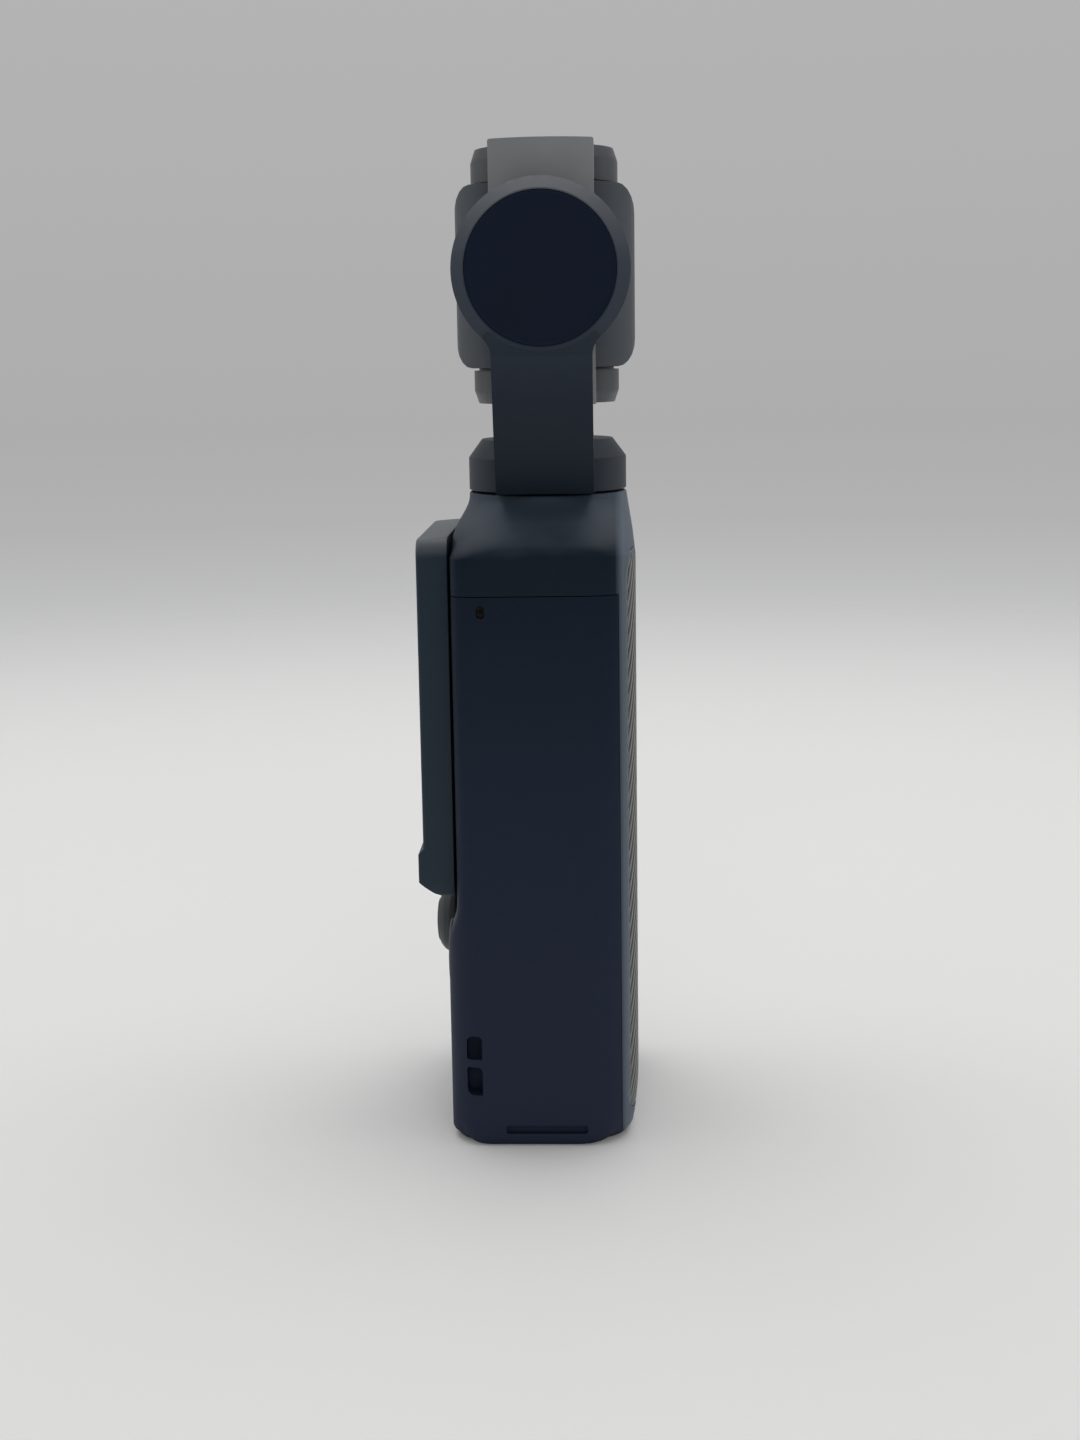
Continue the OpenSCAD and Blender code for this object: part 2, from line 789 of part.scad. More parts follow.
// A leaf on the hinge base whose nose rides on the retainer's rim
module hinge_detent_spring() {
    leaf_w = 5;
    leaf_t = 0.35;
    leaf_gap = 0.2;
    leaf_z = screen_pivot_z - retainer_r - leaf_gap;
    foot_len = 1.2;
    nose_r = 0.7;
    color("#c9ced3") {
        span([hinge_base_x, -leaf_w / 2, leaf_z - leaf_t], [hinge_base_x + foot_len, leaf_w / 2,
            leaf_z]);
        span([hinge_base_x, -leaf_w / 2, leaf_z - foot_len], [hinge_base_x + leaf_t,
            leaf_w / 2, leaf_z]);
        intersection() {
            rod_x(nose_r, hinge_base_x, hinge_base_x + foot_len, 0, leaf_z - nose_r + leaf_gap / 2);
            span([hinge_base_x, -leaf_w / 2, leaf_z - leaf_t], [far, leaf_w / 2, far]);
        }
    }
}

module case_screws() {
    color("#3a3d41") {
        at_base_screws() screw();
        at_board_screws() screw();
        at_mount_screws() screw();
    }
}

// Screen

module screen_side(g) {
    lip_low = 2.6;
    lip_high = 6.65;
    toe = 1.2;
    toe_x = 2.2;
    toe_rise = 0.7;
    polygon([[screen_back_x, screen_low_z - g], [lip_x + toe_x + toe_rise, screen_low_z - g],
        [lip_x + toe_x, screen_low_z + toe - g], [lip_x - g, screen_low_z + lip_low],
        [lip_x - g, screen_low_z + lip_high], [screen_face_x - g,
        screen_low_z + lip_high + lip_proud], [screen_face_x - g, screen_high_z - screen_top_fall
        + g], [screen_back_x, screen_high_z + g]]);
}

glass_margin = 1;
glass_t = 0.6;
glass_low = 8.2;
glass_h = screen_height - glass_low - glass_margin;
glass_z = screen_low_z + glass_low + glass_h / 2;
glass_r = 1.8;
display_t = 1.6;
toe_clear = 2;
module screen_housing() {
    shell_t = 1;
    inside_w = screen_width - 2 * shell_t;
    inside_h = screen_height - 2 * shell_t;
    color("#2b3037") difference() {
        intersection() {
            plate_x(lip_x - cut, screen_back_x, screen_width, screen_height, screen_corner_r, 0,
                screen_mid_z);
            rotate([90, 0, 0]) translate([0, 0, -far]) linear_extrude(2 * far) screen_side(0);
        }
        plate_x(screen_face_x - cut, screen_face_x + glass_t + fit, screen_width - 2 * glass_margin
            + 2 * fit, glass_h + 2 * fit, glass_r + fit, 0, glass_z);
        plate_x(screen_face_x + glass_t, screen_face_x + glass_t + display_t + 2 * fit,
            inside_w - glass_margin, glass_h - glass_margin, glass_r - glass_margin / 2, 0, glass_z);
        plate_x(screen_face_x + glass_t + display_t, hub_flange_x, inside_w - 2 * glass_margin,
            inside_h - 2 * glass_margin - toe_clear, glass_r, 0, screen_mid_z + toe_clear / 2);
        rod_x(hub_r + fit, hub_flange_x - cut, screen_back_x + cut, 0, screen_pivot_z);
        at_flange_screws() translate([0, 0, hub_flange_t]) small_screw(fit);
    }
}

// Places of the three screws in the hub's outer flange
flange_screw_at = 6.3;
module at_flange_screws() {
    for (a = [90 : 120 : 330])
        translate([hub_flange_x, flange_screw_at * cos(a), screen_pivot_z
            + flange_screw_at * sin(a)]) rotate([0, -90, 0]) children();
}

module display_panel() {
    inside_w = screen_width - 2 * glass_margin;
    color("#0c0e12")
        plate_x(screen_face_x + glass_t + fit, screen_face_x + glass_t + display_t, inside_w
            - glass_margin - 2 * fit, glass_h - glass_margin - 2 * fit, glass_r
            - glass_margin / 2 - fit, 0, glass_z);
}

module screen_glass() {
    color("#101318")
        plate_x(screen_face_x, screen_face_x + glass_t, screen_width - 2 * glass_margin, glass_h,
            glass_r, 0, glass_z);
}

retainer_screw_at = 3;
cable_hole_r = 1.6;
module screen_hub() {
    color("#b0b5ba") difference() {
        union() {
            rod_x(hub_r, hub_flange_x, retainer_x, 0, screen_pivot_z);
            rod_x(hub_flange_r, hub_flange_x - hub_flange_t, hub_flange_x, 0, screen_pivot_z);
        }
        rod_x(cable_hole_r, hub_flange_x - hub_flange_t - cut, retainer_x + cut, 0, screen_pivot_z);
        at_retainer_screws() small_screw(fit);
        at_flange_screws() translate([0, 0, -cut]) cylinder(h = hub_flange_t + 2 * cut,
            r = small_r + fit);
    }
}

// Countersunk-depth screws of the screen's hub
small_r = 0.45;
small_len = 1.5;
small_head_r = 0.85;
small_head_t = 0.4;
module small_screw(g = 0) {
    translate([0, 0, -small_len - g]) cylinder(h = small_len + g, r = small_r + g);
    cylinder(h = small_head_t + g, r = small_head_r + g);
}

module at_retainer_screws() {
    for (a = [30 : 120 : 270])
        translate([retainer_x + retainer_t - small_head_t, retainer_screw_at * cos(a),
            screen_pivot_z + retainer_screw_at * sin(a)]) rotate([0, 90, 0]) children();
}

module hub_retainer() {
    stop_w = 1.2;
    color("#9aa0a6") difference() {
        rod_x(retainer_r, retainer_x, retainer_x + retainer_t, 0, screen_pivot_z);
        rod_x(cable_hole_r, retainer_x - cut, retainer_x + retainer_t + cut, 0, screen_pivot_z);
        at_retainer_screws() small_screw(fit);
        // Rest notches for the detent leaf, upright and turned
        for (a = [0, 90])
            translate([retainer_x - cut, 0, screen_pivot_z]) rotate([a, 0, 0])
                translate([0, -stop_w / 2, -retainer_r - cut])
                    cube([retainer_t + 2 * cut, stop_w, cut + stop_w / 2]);
    }
}

module hub_screws() {
    color("#3a3d41") {
        at_retainer_screws() small_screw();
        at_flange_screws() translate([0, 0, hub_flange_t]) small_screw();
    }
}

// Controls

module record_button() {
    dish_r = 3.6;
    dish_depth = 0.15;
    face_x = -(rear_reach + button_proud);
    color("#4a4d52") difference() {
        union() {
            rod_x(record_r, face_x, button_back_x, -control_y, control_z);
            intersection() {
                rod_x(record_r + button_flange, button_back_x - button_flange_t, button_back_x,
                    -control_y, control_z);
                handle_solid(-wall - button_gap);
            }
        }
        rod_x(dish_r, face_x - cut, face_x + dish_depth, -control_y, control_z);
    }
}

ear_y = 4.4;
ear_t = 1;
ear_half = 1.2;
pin_r = 0.45;
cradle_in_r = 3.1;
cradle_out_r = 4.1;
cradle_t = 1.6;
stick_hub_r = 2.3;
stick_hub_t = 2.2;
module joystick_plunger() {
    color("#777c82") difference() {
        union() {
            rod_x(plunger_r, plunger_x, plunger_x + plunger_t, control_y, control_z);
            for (s = [-1, 1])
                span([stick_pivot_x - ear_t, control_y + (s > 0 ? ear_y : -ear_y - ear_t),
                    control_z - ear_half], [plunger_x + plunger_t / 2, control_y
                    + (s > 0 ? ear_y + ear_t : -ear_y), control_z + ear_half]);
        }
        rod_y(pin_r + fit, control_y - far, control_y + far, stick_pivot_x, control_z);
    }
}

module joystick_cradle() {
    color("#9aa0a6") {
        difference() {
            rod_x(cradle_out_r, stick_pivot_x - cradle_t / 2, stick_pivot_x + cradle_t / 2,
                control_y, control_z);
            rod_x(cradle_in_r, stick_pivot_x - cradle_t, stick_pivot_x + cradle_t, control_y,
                control_z);
            translate([stick_pivot_x, control_y, control_z])
                rod_z(pin_r + fit, -cradle_out_r - cut, cradle_out_r + cut);
        }
        for (s = [-1, 1])
            translate([0, control_y, 0])
                rod_y(pin_r, s > 0 ? cradle_out_r - fit : -ear_y - ear_t,
                    s > 0 ? ear_y + ear_t : fit - cradle_out_r, stick_pivot_x, control_z);
    }
}

// Joystick cap: share of its radius, share of its height
cap_shares = [[0, 0], [0.94, 0], [1, 0.08], [1, 0.36], [0.95, 0.5], [0.88, 0.56], [0.86, 0.72],
    [0.7, 0.86], [0.66, 0.94], [0.46, 1], [0.2, 0.97], [0, 0.93]];
stick_under = 0.5;
module joystick_cap() {
    cap_h = stick_proud - stick_under;
    under_x = -(rear_reach + stick_under);
    neck_r = 1.9;
    color("#46484c") {
        translate([under_x, control_y, control_z]) rotate([0, -90, 0])
            rotate_extrude() polygon([for (p = cap_shares) [p[0] * stick_r, p[1] * cap_h]]);
        rod_x(neck_r, under_x - cap_h / 4, stick_pivot_x, control_y, control_z);
        rod_x(stick_hub_r, stick_pivot_x - stick_hub_t / 2, stick_pivot_x + stick_hub_t / 2,
            control_y, control_z);
        translate([stick_pivot_x, control_y, control_z])
            rod_z(pin_r, -cradle_out_r, cradle_out_r);
    }
}

// Motors: each has a stator on a bearing tube, inside a turning cup of magnets
shaft_r = 1.5;
bearing_r = 3;
bearing_w = 2;
tube_r = 4;
tube_step_r = 2.4;
slots = 9;
poles = 12;
pole_gap = 0.12;
hub_ring = 0.9;
tooth_w = 1.1;
tip_t = 0.6;
tip_w = 3.4;
magnet_t = 0.8;
air_gap = 0.35;

module stator(r, h) {
    linear_extrude(h) difference() {
        union() {
            circle(tube_r + hub_ring);
            intersection() {
                circle(r);
                for (i = [0 : slots - 1])
                    rotate(360 * i / slots) {
                        translate([0, -tooth_w / 2]) square([r, tooth_w]);
                        translate([r - tip_t, -tip_w / 2]) square([tip_t, tip_w]);
                    }
            }
        }
        circle(tube_r + shaft_fit);
    }
}

module coils(r, h, t) {
    x0 = tube_r + hub_ring + 2 * fit;
    x1 = r - tip_t - 2 * fit;
    half = tooth_w / 2 + fit;
    for (i = [0 : slots - 1])
        rotate(360 * i / slots) difference() {
            span([x0, -half - t, -fit - t], [x1, half + t, h + fit + t]);
            span([x0 - cut, -half, -fit], [x1 + cut, half, h + fit]);
        }
}

module magnets(r, h) {
    linear_extrude(h) difference() {
        circle(r);
        circle(r - magnet_t);
        for (i = [0 : poles - 1])
            rotate(360 * i / poles) translate([0, -pole_gap / 2]) square([r + cut, pole_gap]);
    }
}

// A shielded ball bearing
module bearing() {
    groove_in = 2.05;
    groove_out = 2.5;
    groove = 0.15;
    difference() {
        cylinder(h = bearing_w, r = bearing_r);
        translate([0, 0, -cut]) cylinder(h = bearing_w + 2 * cut, r = shaft_r + shaft_fit);
        for (z = [-cut, bearing_w - groove])
            translate([0, 0, z]) difference() {
                cylinder(h = cut + groove, r = groove_out);
                cylinder(h = 2 * cut, r = groove_in);
            }
    }
}

// Pan motor in the neck and the pan housing
pan_web = 1.6;
pan_cup_r = 9.6;
pan_chamfer_h = 2.6;
pan_chamfer = 1.93;
pan_stator_z = 1.6;
pan_stator_h = 2.7;
pan_coil_t = 0.5;
tube_end_gap = 0.5;
tube_depth = 5.6;
tube_low_z = neck_z - tube_depth;
pan_ceiling_z = pan_top_z - pan_web;
tube_high_z = pan_ceiling_z - tube_end_gap;
shaft_head_r = 2.2;
shaft_head_t = 0.6;
bearing_sink = 0.1;
pan_stator_r = pan_cup_r - magnet_t - air_gap - fit;

module pan_mount() {
    color("#8d9299") difference() {
        union() {
            rod_z(tube_r, tube_low_z, tube_high_z);
            rod_z(mount_flange_r, neck_z - deck_t - mount_flange_t, neck_z - deck_t);
        }
        rod_z(tube_step_r, tube_low_z - cut, tube_high_z + cut);
        rod_z(bearing_r + shaft_fit, tube_low_z - cut, tube_low_z + bearing_sink + bearing_w);
        rod_z(bearing_r + shaft_fit, tube_high_z - bearing_sink - bearing_w, tube_high_z + cut);
        at_mount_screws() screw(fit);
    }
}

module pan_stator() {
    color("#6b6f74") translate([0, 0, pan_z + pan_stator_z]) stator(pan_stator_r, pan_stator_h);
}

module pan_coils() {
    color("#b87333") translate([0, 0, pan_z + pan_stator_z])
        coils(pan_stator_r, pan_stator_h, pan_coil_t);
}

module pan_bearings() {
    color("#c4c8cc") {
        translate([0, 0, tube_low_z + bearing_sink]) bearing();
        translate([0, 0, tube_high_z - bearing_sink - bearing_w]) bearing();
    }
}

shaft_top = 1.3;
tab_t = 1.2;
tab_half = 5.5;
tab_reach = 4.6;
tab_screw_x = 3.4;
tab_screw_y = 6.9;
module at_arm_screws() {
    for (s = [-1, 1])
        translate([s * tab_screw_x, -tab_screw_y, pan_top_z + tab_t - small_head_t]) children();
}

module pan_housing() {
    chamfer_z = pan_h - pan_chamfer_h;
    color("#39414a") difference() {
        translate([0, 0, pan_z]) rotate_extrude()
            polygon([[0, 0], [pan_r, 0], [pan_r, chamfer_z], [pan_r - pan_chamfer, pan_h],
                [0, pan_h]]);
        rod_z(pan_cup_r, pan_z - cut, pan_ceiling_z);
        rod_z(shaft_r + shaft_fit, pan_ceiling_z - cut, pan_ceiling_z + shaft_top + fit);
        at_arm_screws() small_screw(fit);
    }
}

module pan_magnets() {
    inset = 0.7;
    color("#8f969c") translate([0, 0, pan_z + inset])
        magnets(pan_cup_r - fit, pan_ceiling_z - pan_z - 2 * inset);
}

module pan_shaft() {
    color("#d0d4d8") {
        rod_z(shaft_r, tube_low_z - fit, pan_ceiling_z + shaft_top);
        rod_z(shaft_head_r, tube_low_z - shaft_head_t - 2 * fit, tube_low_z - fit);
    }
}

// Pan arm: foot on the pan housing, leaning strap and round head
arm_foot_y = 12.3;
arm_knee_y = 16.8;
arm_knee_rise = 2.2;
arm_head_drop = 11.4;
arm_notch = 2.5;
arm_fillet_r = 3;
arm_back_y = arm_face_y + arm_head_t;
arm_chamfer = 1.5;
disc_r = 10.15;
disc_t = 0.75;
roll_web = 0.7;
roll_cavity_r = 11;
roll_cup_r = 10.5;
roll_cup_wall = 0.8;
roll_disc_t = 0.8;
roll_rim = 4;
roll_stator_h = 2;
roll_stator_z = 1.75;
roll_coil_t = 0.4;
roll_magnet_r = roll_cup_r - roll_cup_wall - fit;
roll_stator_r = roll_magnet_r - magnet_t - air_gap;
roll_tube_gap = 0.2;
roll_tube_z = roll_disc_t + roll_tube_gap;
flex_w = 5;
flex_t = 0.3;

// Local frame of the roll axis: z = 0 at the yoke's face, z pointing to the near side
module at_roll() {
    translate([0, -yoke_face_y, roll_z]) rotate([90, 0, 0]) children();
}

// The round head's outline in the roll frame
module arm_head_body() {
    rotate_extrude() polygon([[0, turn_gap], [arm_head_r, turn_gap],
        [arm_head_r, turn_gap + arm_head_t - arm_chamfer],
        [disc_r + arm_chamfer / 6, turn_gap + arm_head_t], [0, turn_gap + arm_head_t]]);
}

// Strap seen along Y, with fillets into the round head
module arm_front() {
    half = arm_width / 2;
    fx = half + arm_fillet_r;
    reach = arm_head_r + arm_fillet_r;
    fz = roll_z - sqrt(reach * reach - fx * fx);
    tx = fx * arm_head_r / reach;
    tz = roll_z - (roll_z - fz) * arm_head_r / reach;
    translate([-half, pan_z]) square([arm_width, roll_z - pan_z]);
    difference() {
        polygon([[-fx, fz], [fx, fz], [tx, tz], [0, roll_z], [-tx, tz]]);
        for (s = [-1, 1])
            translate([s * fx, fz]) circle(arm_fillet_r);
    }
}

// Strap seen along X
module arm_side() {
    knee_z = pan_top_z + arm_knee_rise;
    head_z = roll_z - arm_head_drop;
    polygon([[-arm_foot_y, pan_z], [-arm_knee_y, knee_z], [-arm_back_y + arm_chamfer / 4, head_z],
        [-arm_back_y + arm_chamfer / 4, roll_z], [-arm_face_y, roll_z],
        [-arm_face_y, pan_top_z + arm_notch], [-arm_face_y + arm_notch - tab_t,
        pan_top_z + tab_t], [-tab_reach, pan_top_z + tab_t], [-tab_reach, pan_z]]);
}

module pan_arm() {
    color("#252c35") difference() {
        union() {
            intersection() {
                translate([0, far, 0]) rotate([90, 0, 0]) linear_extrude(2 * far) arm_front();
                translate([-far, 0, 0]) rotate([90, 0, 90]) linear_extrude(2 * far) arm_side();
            }
            at_roll() arm_head_body();
        }
        rod_z(pan_r + fit, pan_z - cut, pan_top_z);
        // Room beside the tab for the turning yoke
        for (s = [-1, 1])
            span([s > 0 ? tab_half : -far, -arm_face_y + arm_notch, pan_top_z],
                [s > 0 ? far : -tab_half, 0, pan_top_z + tab_t + cut]);
        at_arm_screws() small_screw(fit);
        at_arm_screws() rod_z(small_head_r + fit, 0, cut);
        at_roll() {
            rod_z(disc_r + fit, turn_gap + arm_head_t - disc_t, turn_gap + arm_head_t + cut);
            difference() {
                rod_z(roll_cavity_r, -cut, turn_gap + arm_head_t - disc_t - roll_web);
                rod_z(tube_r, roll_tube_z, far);
            }
            rod_z(bearing_r + shaft_fit, -cut, turn_gap + arm_head_t - disc_t);
        }
        span([-flex_w / 2 - fit, -arm_face_y - flex_t - 2 * fit, pan_top_z + arm_notch],
            [flex_w / 2 + fit, -arm_face_y + fit, roll_z - roll_cavity_r + 1.5 * flex_t]);
    }
}

module arm_flex() {
    color("#b5651d") span([-flex_w / 2, -arm_face_y - flex_t - fit, pan_top_z + arm_notch + fit],
        [flex_w / 2, -arm_face_y - fit, roll_z - roll_cavity_r - fit]);
}

module arm_screws() {
    color("#3a3d41") at_arm_screws() small_screw();
}

module roll_cover() {
    color("#181e2a") at_roll()
        rod_z(disc_r, turn_gap + arm_head_t - disc_t, turn_gap + arm_head_t);
}

module roll_stator() {
    color("#6b6f74") at_roll() translate([0, 0, roll_stator_z])
        stator(roll_stator_r, roll_stator_h);
}

module roll_coils() {
    color("#b87333") at_roll() translate([0, 0, roll_stator_z])
        coils(roll_stator_r, roll_stator_h, roll_coil_t);
}

module roll_bearings() {
    color("#c4c8cc") at_roll() {
        translate([0, 0, roll_tube_z + fit]) bearing();
        translate([0, 0, turn_gap + arm_head_t - disc_t - bearing_w - fit / 2]) bearing();
    }
}

// Yoke: a bowed back with a round end above and below the camera head
yoke_out_r = tilt_y + yoke_face_y;
yoke_in_r = yoke_out_r - yoke_t;
yoke_top_rise = 0.3;
cap_chamfer_r = 0.6;
cap_chamfer_h = 1.8;
limb_end_y = 5.1;
roll_boss_r = 7;
tilt_cavity_r = 8.9;
tilt_web = 0.6;
tilt_cover_r = 6.6;
tilt_cover_t = 0.6;
tilt_cup_r = 8.5;
tilt_cup_wall = 0.7;
tilt_disc_t = 0.6;
tilt_rim_gap = 0.4;
tilt_stator_h = 1.1;
tilt_coil_t = 0.35;
tilt_ceiling_z = cap_high_z - tilt_cover_t - tilt_web;
tilt_magnet_r = tilt_cup_r - tilt_cup_wall - fit;
tilt_stator_r = tilt_magnet_r - magnet_t - air_gap;
tilt_disc_z = head_high_z + tilt_disc_t;
tilt_stator_z = (tilt_disc_z + tilt_ceiling_z - tilt_stator_h) / 2;
tilt_tube_gap = 0.2;

module round_end(low, h, flip) {
    translate([0, tilt_y, low + (flip ? h : 0)]) mirror([0, 0, flip ? 1 : 0])
        rotate_extrude() polygon([[0, 0], [cap_r, 0], [cap_r, h - cap_chamfer_h],
            [cap_r - cap_chamfer_r, h], [0, h]]);
}

module yoke() {
    half = yoke_width / 2;
    top_z = cap_high_z + yoke_top_rise;
    color("#64666c") difference() {
        union() {
            intersection() {
                translate([0, tilt_y, 0]) rod_z(yoke_out_r, foot_low_z, top_z, $fn = 2 * $fn);
                difference() {
                    span([-half, -far, foot_low_z], [half, 0, top_z]);
                    translate([0, tilt_y, 0]) rod_z(yoke_in_r, foot_high_z, cap_low_z, $fn = 2 * $fn);
                }
                difference() {
                    span([-half, -far, foot_low_z], [half, 0, top_z]);
                    span([-far, -limb_end_y, cap_high_z], [far, far, far]);
                }
            }
            intersection() {
                rod_y(roll_boss_r, -yoke_face_y, yoke_t / 2 - yoke_face_y, 0, roll_z);
                span([-half, -far, 0], [half, far, far]);
            }
            round_end(cap_low_z, cap_top_h, false);
            round_end(foot_low_z, cap_low_h, true);
        }
        // Motor room above, with its bearing tube left standing
        difference() {
            rod_z(tilt_cavity_r, cap_low_z - cut, tilt_ceiling_z, 0, tilt_y);
            rod_z(tube_r, tilt_disc_z + tilt_tube_gap, far, 0, tilt_y);
        }
        rod_z(bearing_r + shaft_fit, cap_low_z - cut, tilt_ceiling_z, 0, tilt_y);
        rod_z(tilt_cover_r + fit, cap_high_z - tilt_cover_t, cap_high_z + cut, 0, tilt_y);
        // Bearing seat below
        rod_z(bearing_r + shaft_fit, foot_high_z - bearing_sink - bearing_w, foot_high_z + cut, 0,
            tilt_y);
        rod_z(tube_step_r, foot_low_z + tilt_cover_t, foot_high_z + cut, 0, tilt_y);
        rod_z(tilt_cover_r + fit, foot_low_z - cut, foot_low_z + tilt_cover_t, 0, tilt_y);
        at_roll() rod_z(shaft_r + shaft_fit, -yoke_t - cut, cut);
    }
}

module roll_rotor() {
    hub_z = roll_tube_z - roll_disc_t / 8;
    color("#8f969c") at_roll() {
        difference() {
            rod_z(roll_cup_r, 0, roll_rim);
            rod_z(roll_cup_r - roll_cup_wall, roll_disc_t, roll_rim + cut);
        }
        rod_z(shaft_r, -yoke_t + fit, turn_gap + arm_head_t - disc_t - fit);
        rod_z(shaft_r + hub_ring / 2, 0, hub_z);
    }
}

module roll_magnets() {
    inset = 0.1;
    color("#777e85") at_roll() translate([0, 0, roll_disc_t + inset])
        magnets(roll_magnet_r, roll_rim - roll_disc_t - 2 * inset);
}

module tilt_cover() {
    color("#3f4248") {
        rod_z(tilt_cover_r, cap_high_z - tilt_cover_t, cap_high_z, 0, tilt_y);
        rod_z(tilt_cover_r, foot_low_z, foot_low_z + tilt_cover_t, 0, tilt_y);
    }
}

module tilt_stator() {
    color("#6b6f74") translate([0, tilt_y, tilt_stator_z]) stator(tilt_stator_r, tilt_stator_h);
}

module tilt_coils() {
    color("#b87333") translate([0, tilt_y, tilt_stator_z])
        coils(tilt_stator_r, tilt_stator_h, tilt_coil_t);
}

module tilt_bearings() {
    color("#c4c8cc") {
        translate([0, tilt_y, tilt_ceiling_z - fit - bearing_w]) bearing();
        translate([0, tilt_y, foot_high_z - bearing_sink - bearing_w]) bearing();
    }
}

// Camera head

head_corner_x = 2.5;
head_corner_z = 3.9;
head_corner_steps = 5;
head_front_r = 4;
head_split_y = 6;
head_gap = 0.06;

module head_solid(g) {
    half = head_width / 2 + g;
    high = head_height / 2 + g;
    cx = head_corner_x + g;
    cz = head_corner_z + g;
    front = head_front_y + g;
    r = head_front_r + g;
    intersection() {
        translate([0, 0, head_low_z - g]) linear_extrude(head_height + 2 * g, $fn = 2 * $fn) {
            intersection() {
                translate([0, tilt_y]) circle(half);
                translate([-half, tilt_y - half]) square([2 * half, half]);
            }
            translate([-half, tilt_y]) square([2 * half, front - r - tilt_y]);
            translate([r - half, tilt_y]) square([2 * (half - r), front - tilt_y]);
            for (s = [-1, 1])
                translate([s * (half - r), front - r]) circle(r);
        }
        // Each corner is a quarter of an ellipse
        translate([0, far, head_mid_z]) rotate([90, 0, 0]) linear_extrude(2 * far)
            polygon([for (q = [0 : 3], k = [0 : head_corner_steps])
                let (a = 90 * (q + k / head_corner_steps), sx = q == 0 || q == 3 ? 1 : -1,
                    sz = q < 2 ? 1 : -1)
                [sx * (half - cx) + cx * cos(a), sz * (high - cz) + cz * sin(a)]]);
    }
}

module head_shell() {
    difference() {
        head_solid(0);
        head_solid(-head_wall);
        rod_z(spigot_r + fit, head_high_z - head_wall - cut, head_high_z + cut, 0, tilt_y);
        rod_z(shaft_r + fit, head_low_z - cut, head_low_z + head_wall + cut, 0, tilt_y);
        rod_y(lens_r + fit, head_front_y - head_wall - cut, head_front_y + cut, 0, head_mid_z);
    }
}

module head_rear_shell() {
    color("#3c4148") difference() {
        head_shell();
        span([-far, head_split_y - head_gap / 2, 0], [far, far, far]);
    }
}

module head_front_shell() {
    color("#3c4148") difference() {
        head_shell();
        span([-far, -far, 0], [far, head_split_y + head_gap / 2, far]);
    }
}

spigot_r = 2.5;
spigot_len = 1.8;
module tilt_rotor() {
    color("#8f969c") {
        difference() {
            rod_z(tilt_cup_r, head_high_z, tilt_ceiling_z - tilt_rim_gap, 0, tilt_y);
            rod_z(tilt_cup_r - tilt_cup_wall, tilt_disc_z, far, 0, tilt_y);
        }
        rod_z(shaft_r, head_high_z, tilt_ceiling_z - 2 * fit, 0, tilt_y);
        rod_z(spigot_r, head_high_z - spigot_len, head_high_z, 0, tilt_y);
    }
}

module tilt_magnets() {
    inset = 0.1;
    color("#777e85") translate([0, tilt_y, tilt_disc_z + inset])
        magnets(tilt_magnet_r, tilt_ceiling_z - tilt_rim_gap - tilt_disc_z - 2 * inset);
}

module tilt_pin() {
    flange_r = 3.5;
    flange_t = 0.8;
    color("#d0d4d8") {
        rod_z(shaft_r, foot_high_z - bearing_w - bearing_sink, head_low_z + head_wall, 0, tilt_y);
        rod_z(flange_r, head_low_z + head_wall, head_low_z + head_wall + flange_t, 0, tilt_y);
    }
}

// Lens: barrel through the head's front wall, with glass and sensor behind
barrel_flange = 0.6;
barrel_flange_t = 1.3;
barrel_seat = 0.25;
barrel_tail_r = 8;
barrel_tail_y = 0.3;
barrel_bore_r = 6.6;
barrel_lip = 1;
lens_front_y = head_front_y + lens_proud;
glass_seat = 1;
front_glass_t = 0.7;
module lens_barrel() {
    in_y = head_front_y - head_wall;
    color("#15181c") difference() {
        union() {
            rod_y(lens_r, in_y - barrel_seat, lens_front_y, 0, head_mid_z);
            rod_y(lens_r + barrel_flange, in_y - barrel_seat - barrel_flange_t, in_y - barrel_seat, 0,
                head_mid_z);
            rod_y(barrel_tail_r, barrel_tail_y, in_y, 0, head_mid_z);
        }
        rod_y(barrel_bore_r, barrel_tail_y + barrel_lip, lens_front_y + cut, 0, head_mid_z);
        rod_y(barrel_bore_r - barrel_lip, barrel_tail_y - cut, barrel_tail_y + 2 * cut, 0, head_mid_z);
        rod_y(lens_glass_r + fit, lens_front_y - glass_seat - fit, lens_front_y + cut, 0, head_mid_z);
    }
}

// Glass places, as shares of the barrel's length: middle and thickness
element_shares = [[0.72, 0.1], [0.5, 0.08], [0.28, 0.1]];
module lens_group() {
    length = lens_front_y - barrel_tail_y;
    color("#6f8fa8") {
        rod_y(lens_glass_r, lens_front_y - glass_seat, lens_front_y - glass_seat + front_glass_t,
            0, head_mid_z);
        for (e = element_shares)
            rod_y(barrel_bore_r - fit, barrel_tail_y + length * (e[0] - e[1] / 2),
                barrel_tail_y + length * (e[0] + e[1] / 2), 0, head_mid_z);
    }
}

sensor_w = 12;
sensor_h = 9;
sensor_t = 0.8;
sensor_board_w = 17;
sensor_board_h = 17;
sensor_board_t = 0.8;
module sensor_board() {
    y1 = barrel_tail_y - fit;
    color("#245a44") {
        span([-sensor_w / 2, y1 - sensor_t, head_mid_z - sensor_h / 2], [sensor_w / 2, y1,
            head_mid_z + sensor_h / 2]);
        span([-sensor_board_w / 2, y1 - sensor_t - sensor_board_t, head_mid_z - sensor_board_h / 2],
            [sensor_board_w / 2, y1 - sensor_t, head_mid_z + sensor_board_h / 2]);
    }
}

